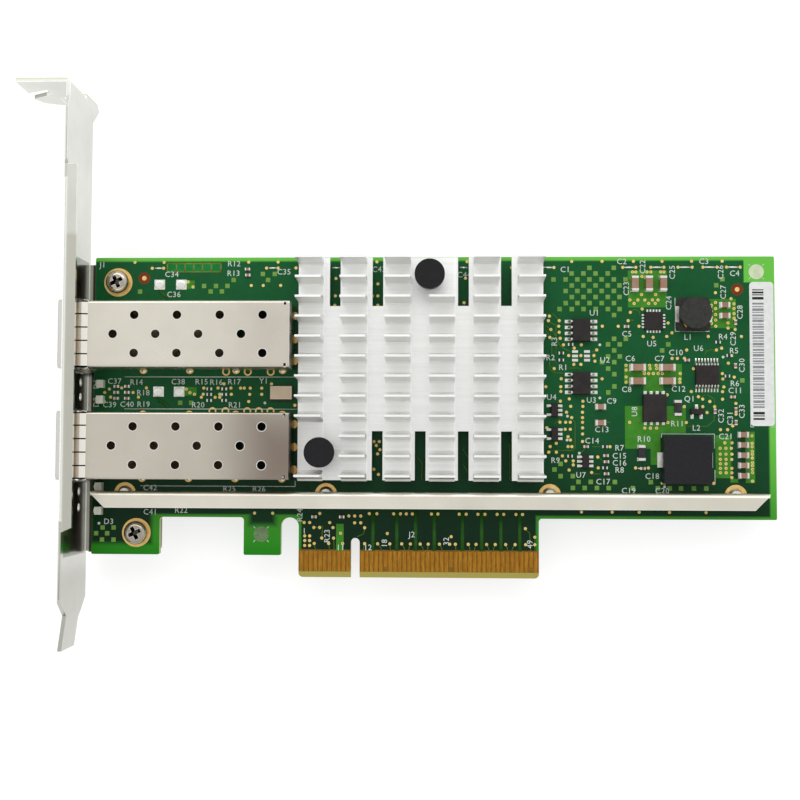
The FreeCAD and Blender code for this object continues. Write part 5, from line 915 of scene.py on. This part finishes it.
lowest, highest = (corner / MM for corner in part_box("label"))
printed, tree, shader, where = new_finish("printed bars", 0.55, specular=0.2)
uneven = grain(tree, where, 1500.0)
ends = field(tree, where, lowest.x - 9.0, lowest.y + 3.2, highest.x + 9.0, highest.y - 3.9, 0.2)
tone = blend(tree, ends, shade("#1E1E20"), blend(tree, uneven, shade("#7A7C80"), shade("#94969A")))
surface(tree, shader, tone, uneven, raised=(0.2, 0.01))
BARS, SPACES = (0.22, 0.4, 0.22, 0.55), (0.26, 0.2, 0.34)
TOP_BREAK, BOTTOM_BREAK, BREAK_WIDTH = 3.5, 3.2, 0.9
bars = []
step = 0
level = highest.y - 1.6
while level > lowest.y + 1.5:
    bar, space = BARS[step % len(BARS)], SPACES[step % len(SPACES)]
    if (not 0.0 < highest.y - level - TOP_BREAK < BREAK_WIDTH
            and not 0.0 < level - lowest.y - BOTTOM_BREAK < BREAK_WIDTH):
        bars.append(oblong(lowest.x + 0.6, level - bar, lowest.x + 3.0, level))
    level -= bar + space
    step += 1
settle([plates(bars, highest.z - 0.005, 0.015)], "label_bars", printed)

# ------------ floor, light and camera
# A plain pale table, a bright even studio with a darker ceiling patch behind the camera, and one
# large soft lamp over the upper edge of the card.

FLOOR_SIDE = 6.0
low, high = cad_box
bpy.ops.object.select_all(action="DESELECT")
bpy.ops.mesh.primitive_plane_add(
    size=FLOOR_SIDE, location=((low.x + high.x) / 2, (low.y + high.y) / 2, low.z))
floor = bpy.context.object
floor.name = "studio_floor"
bpy.ops.object.transform_apply(location=True, rotation=True, scale=True)
pale, tree, shader, where = new_finish("pale table", 0.9, specular=0.1)
tree.links.new(blend(tree, grain(tree, where, 3.0), shade("#B4B4B4"), shade("#B0B0B0")),
               shader.inputs["Base Color"])
shader.inputs["Emission Color"].default_value = (1.0, 1.0, 1.0, 1.0)
shader.inputs["Emission Strength"].default_value = 0.66
floor.data.materials.append(pale)

scene = bpy.context.scene
scene.view_settings.view_transform = "Standard"
studio = bpy.data.worlds.new("studio")
studio.use_nodes = True
scene.world = studio
tree = studio.node_tree
around = add_node(tree, "ShaderNodeTexCoord").outputs["Generated"]
up = add_node(tree, "ShaderNodeSeparateXYZ", {0: around})
overhead = add_node(tree, "ShaderNodeMapRange", {0: up.outputs["Z"], 1: 0.9, 2: 0.985},
                    interpolation_type="SMOOTHSTEP").outputs[0]
horizon = add_node(tree, "ShaderNodeMapRange", {0: up.outputs["Z"], 1: 0.08, 2: 0.3, 3: 1.0, 4: 0.0},
                   interpolation_type="SMOOTHSTEP").outputs[0]
sideways = ramp(tree, up.outputs["Y"], -0.7, 0.7)
dome = blend(tree, sideways, (0.78, 0.78, 0.78, 1.0), (1.15, 1.15, 1.15, 1.0))
dome = blend(tree, overhead, dome, (0.8, 0.8, 0.8, 1.0))
dome = blend(tree, horizon, dome, (0.45, 0.45, 0.45, 1.0))
tree.links.new(dome, tree.nodes["Background"].inputs["Color"])
tree.nodes["Background"].inputs["Strength"].default_value = 1.0

LAMP_BEYOND, LAMP_HEIGHT = 0.55, 0.7
lamp = bpy.data.lights.new("upper softbox", "AREA")
lamp.shape = "RECTANGLE"
lamp.size, lamp.size_y = 0.9, 0.4
lamp.energy = 1.5
softbox = bpy.data.objects.new("upper_softbox", lamp)
softbox.location = (0.0, LAMP_BEYOND, LAMP_HEIGHT)
softbox.rotation_euler = (-math.atan2(LAMP_BEYOND, LAMP_HEIGHT), 0.0, 0.0)
scene.collection.objects.link(softbox)

camera = bpy.data.cameras.new("camera")
camera.sensor_width = 36.0
camera.lens = 54.88
camera.clip_start, camera.clip_end = 0.01, 20.0
viewer = bpy.data.objects.new("camera", camera)
viewer.rotation_mode = "ZYX"
viewer.location = (0.018764, 0.024777, 0.26242)
viewer.rotation_euler = (0.05045, 0.035467, 0.001919)
scene.collection.objects.link(viewer)
scene.camera = viewer
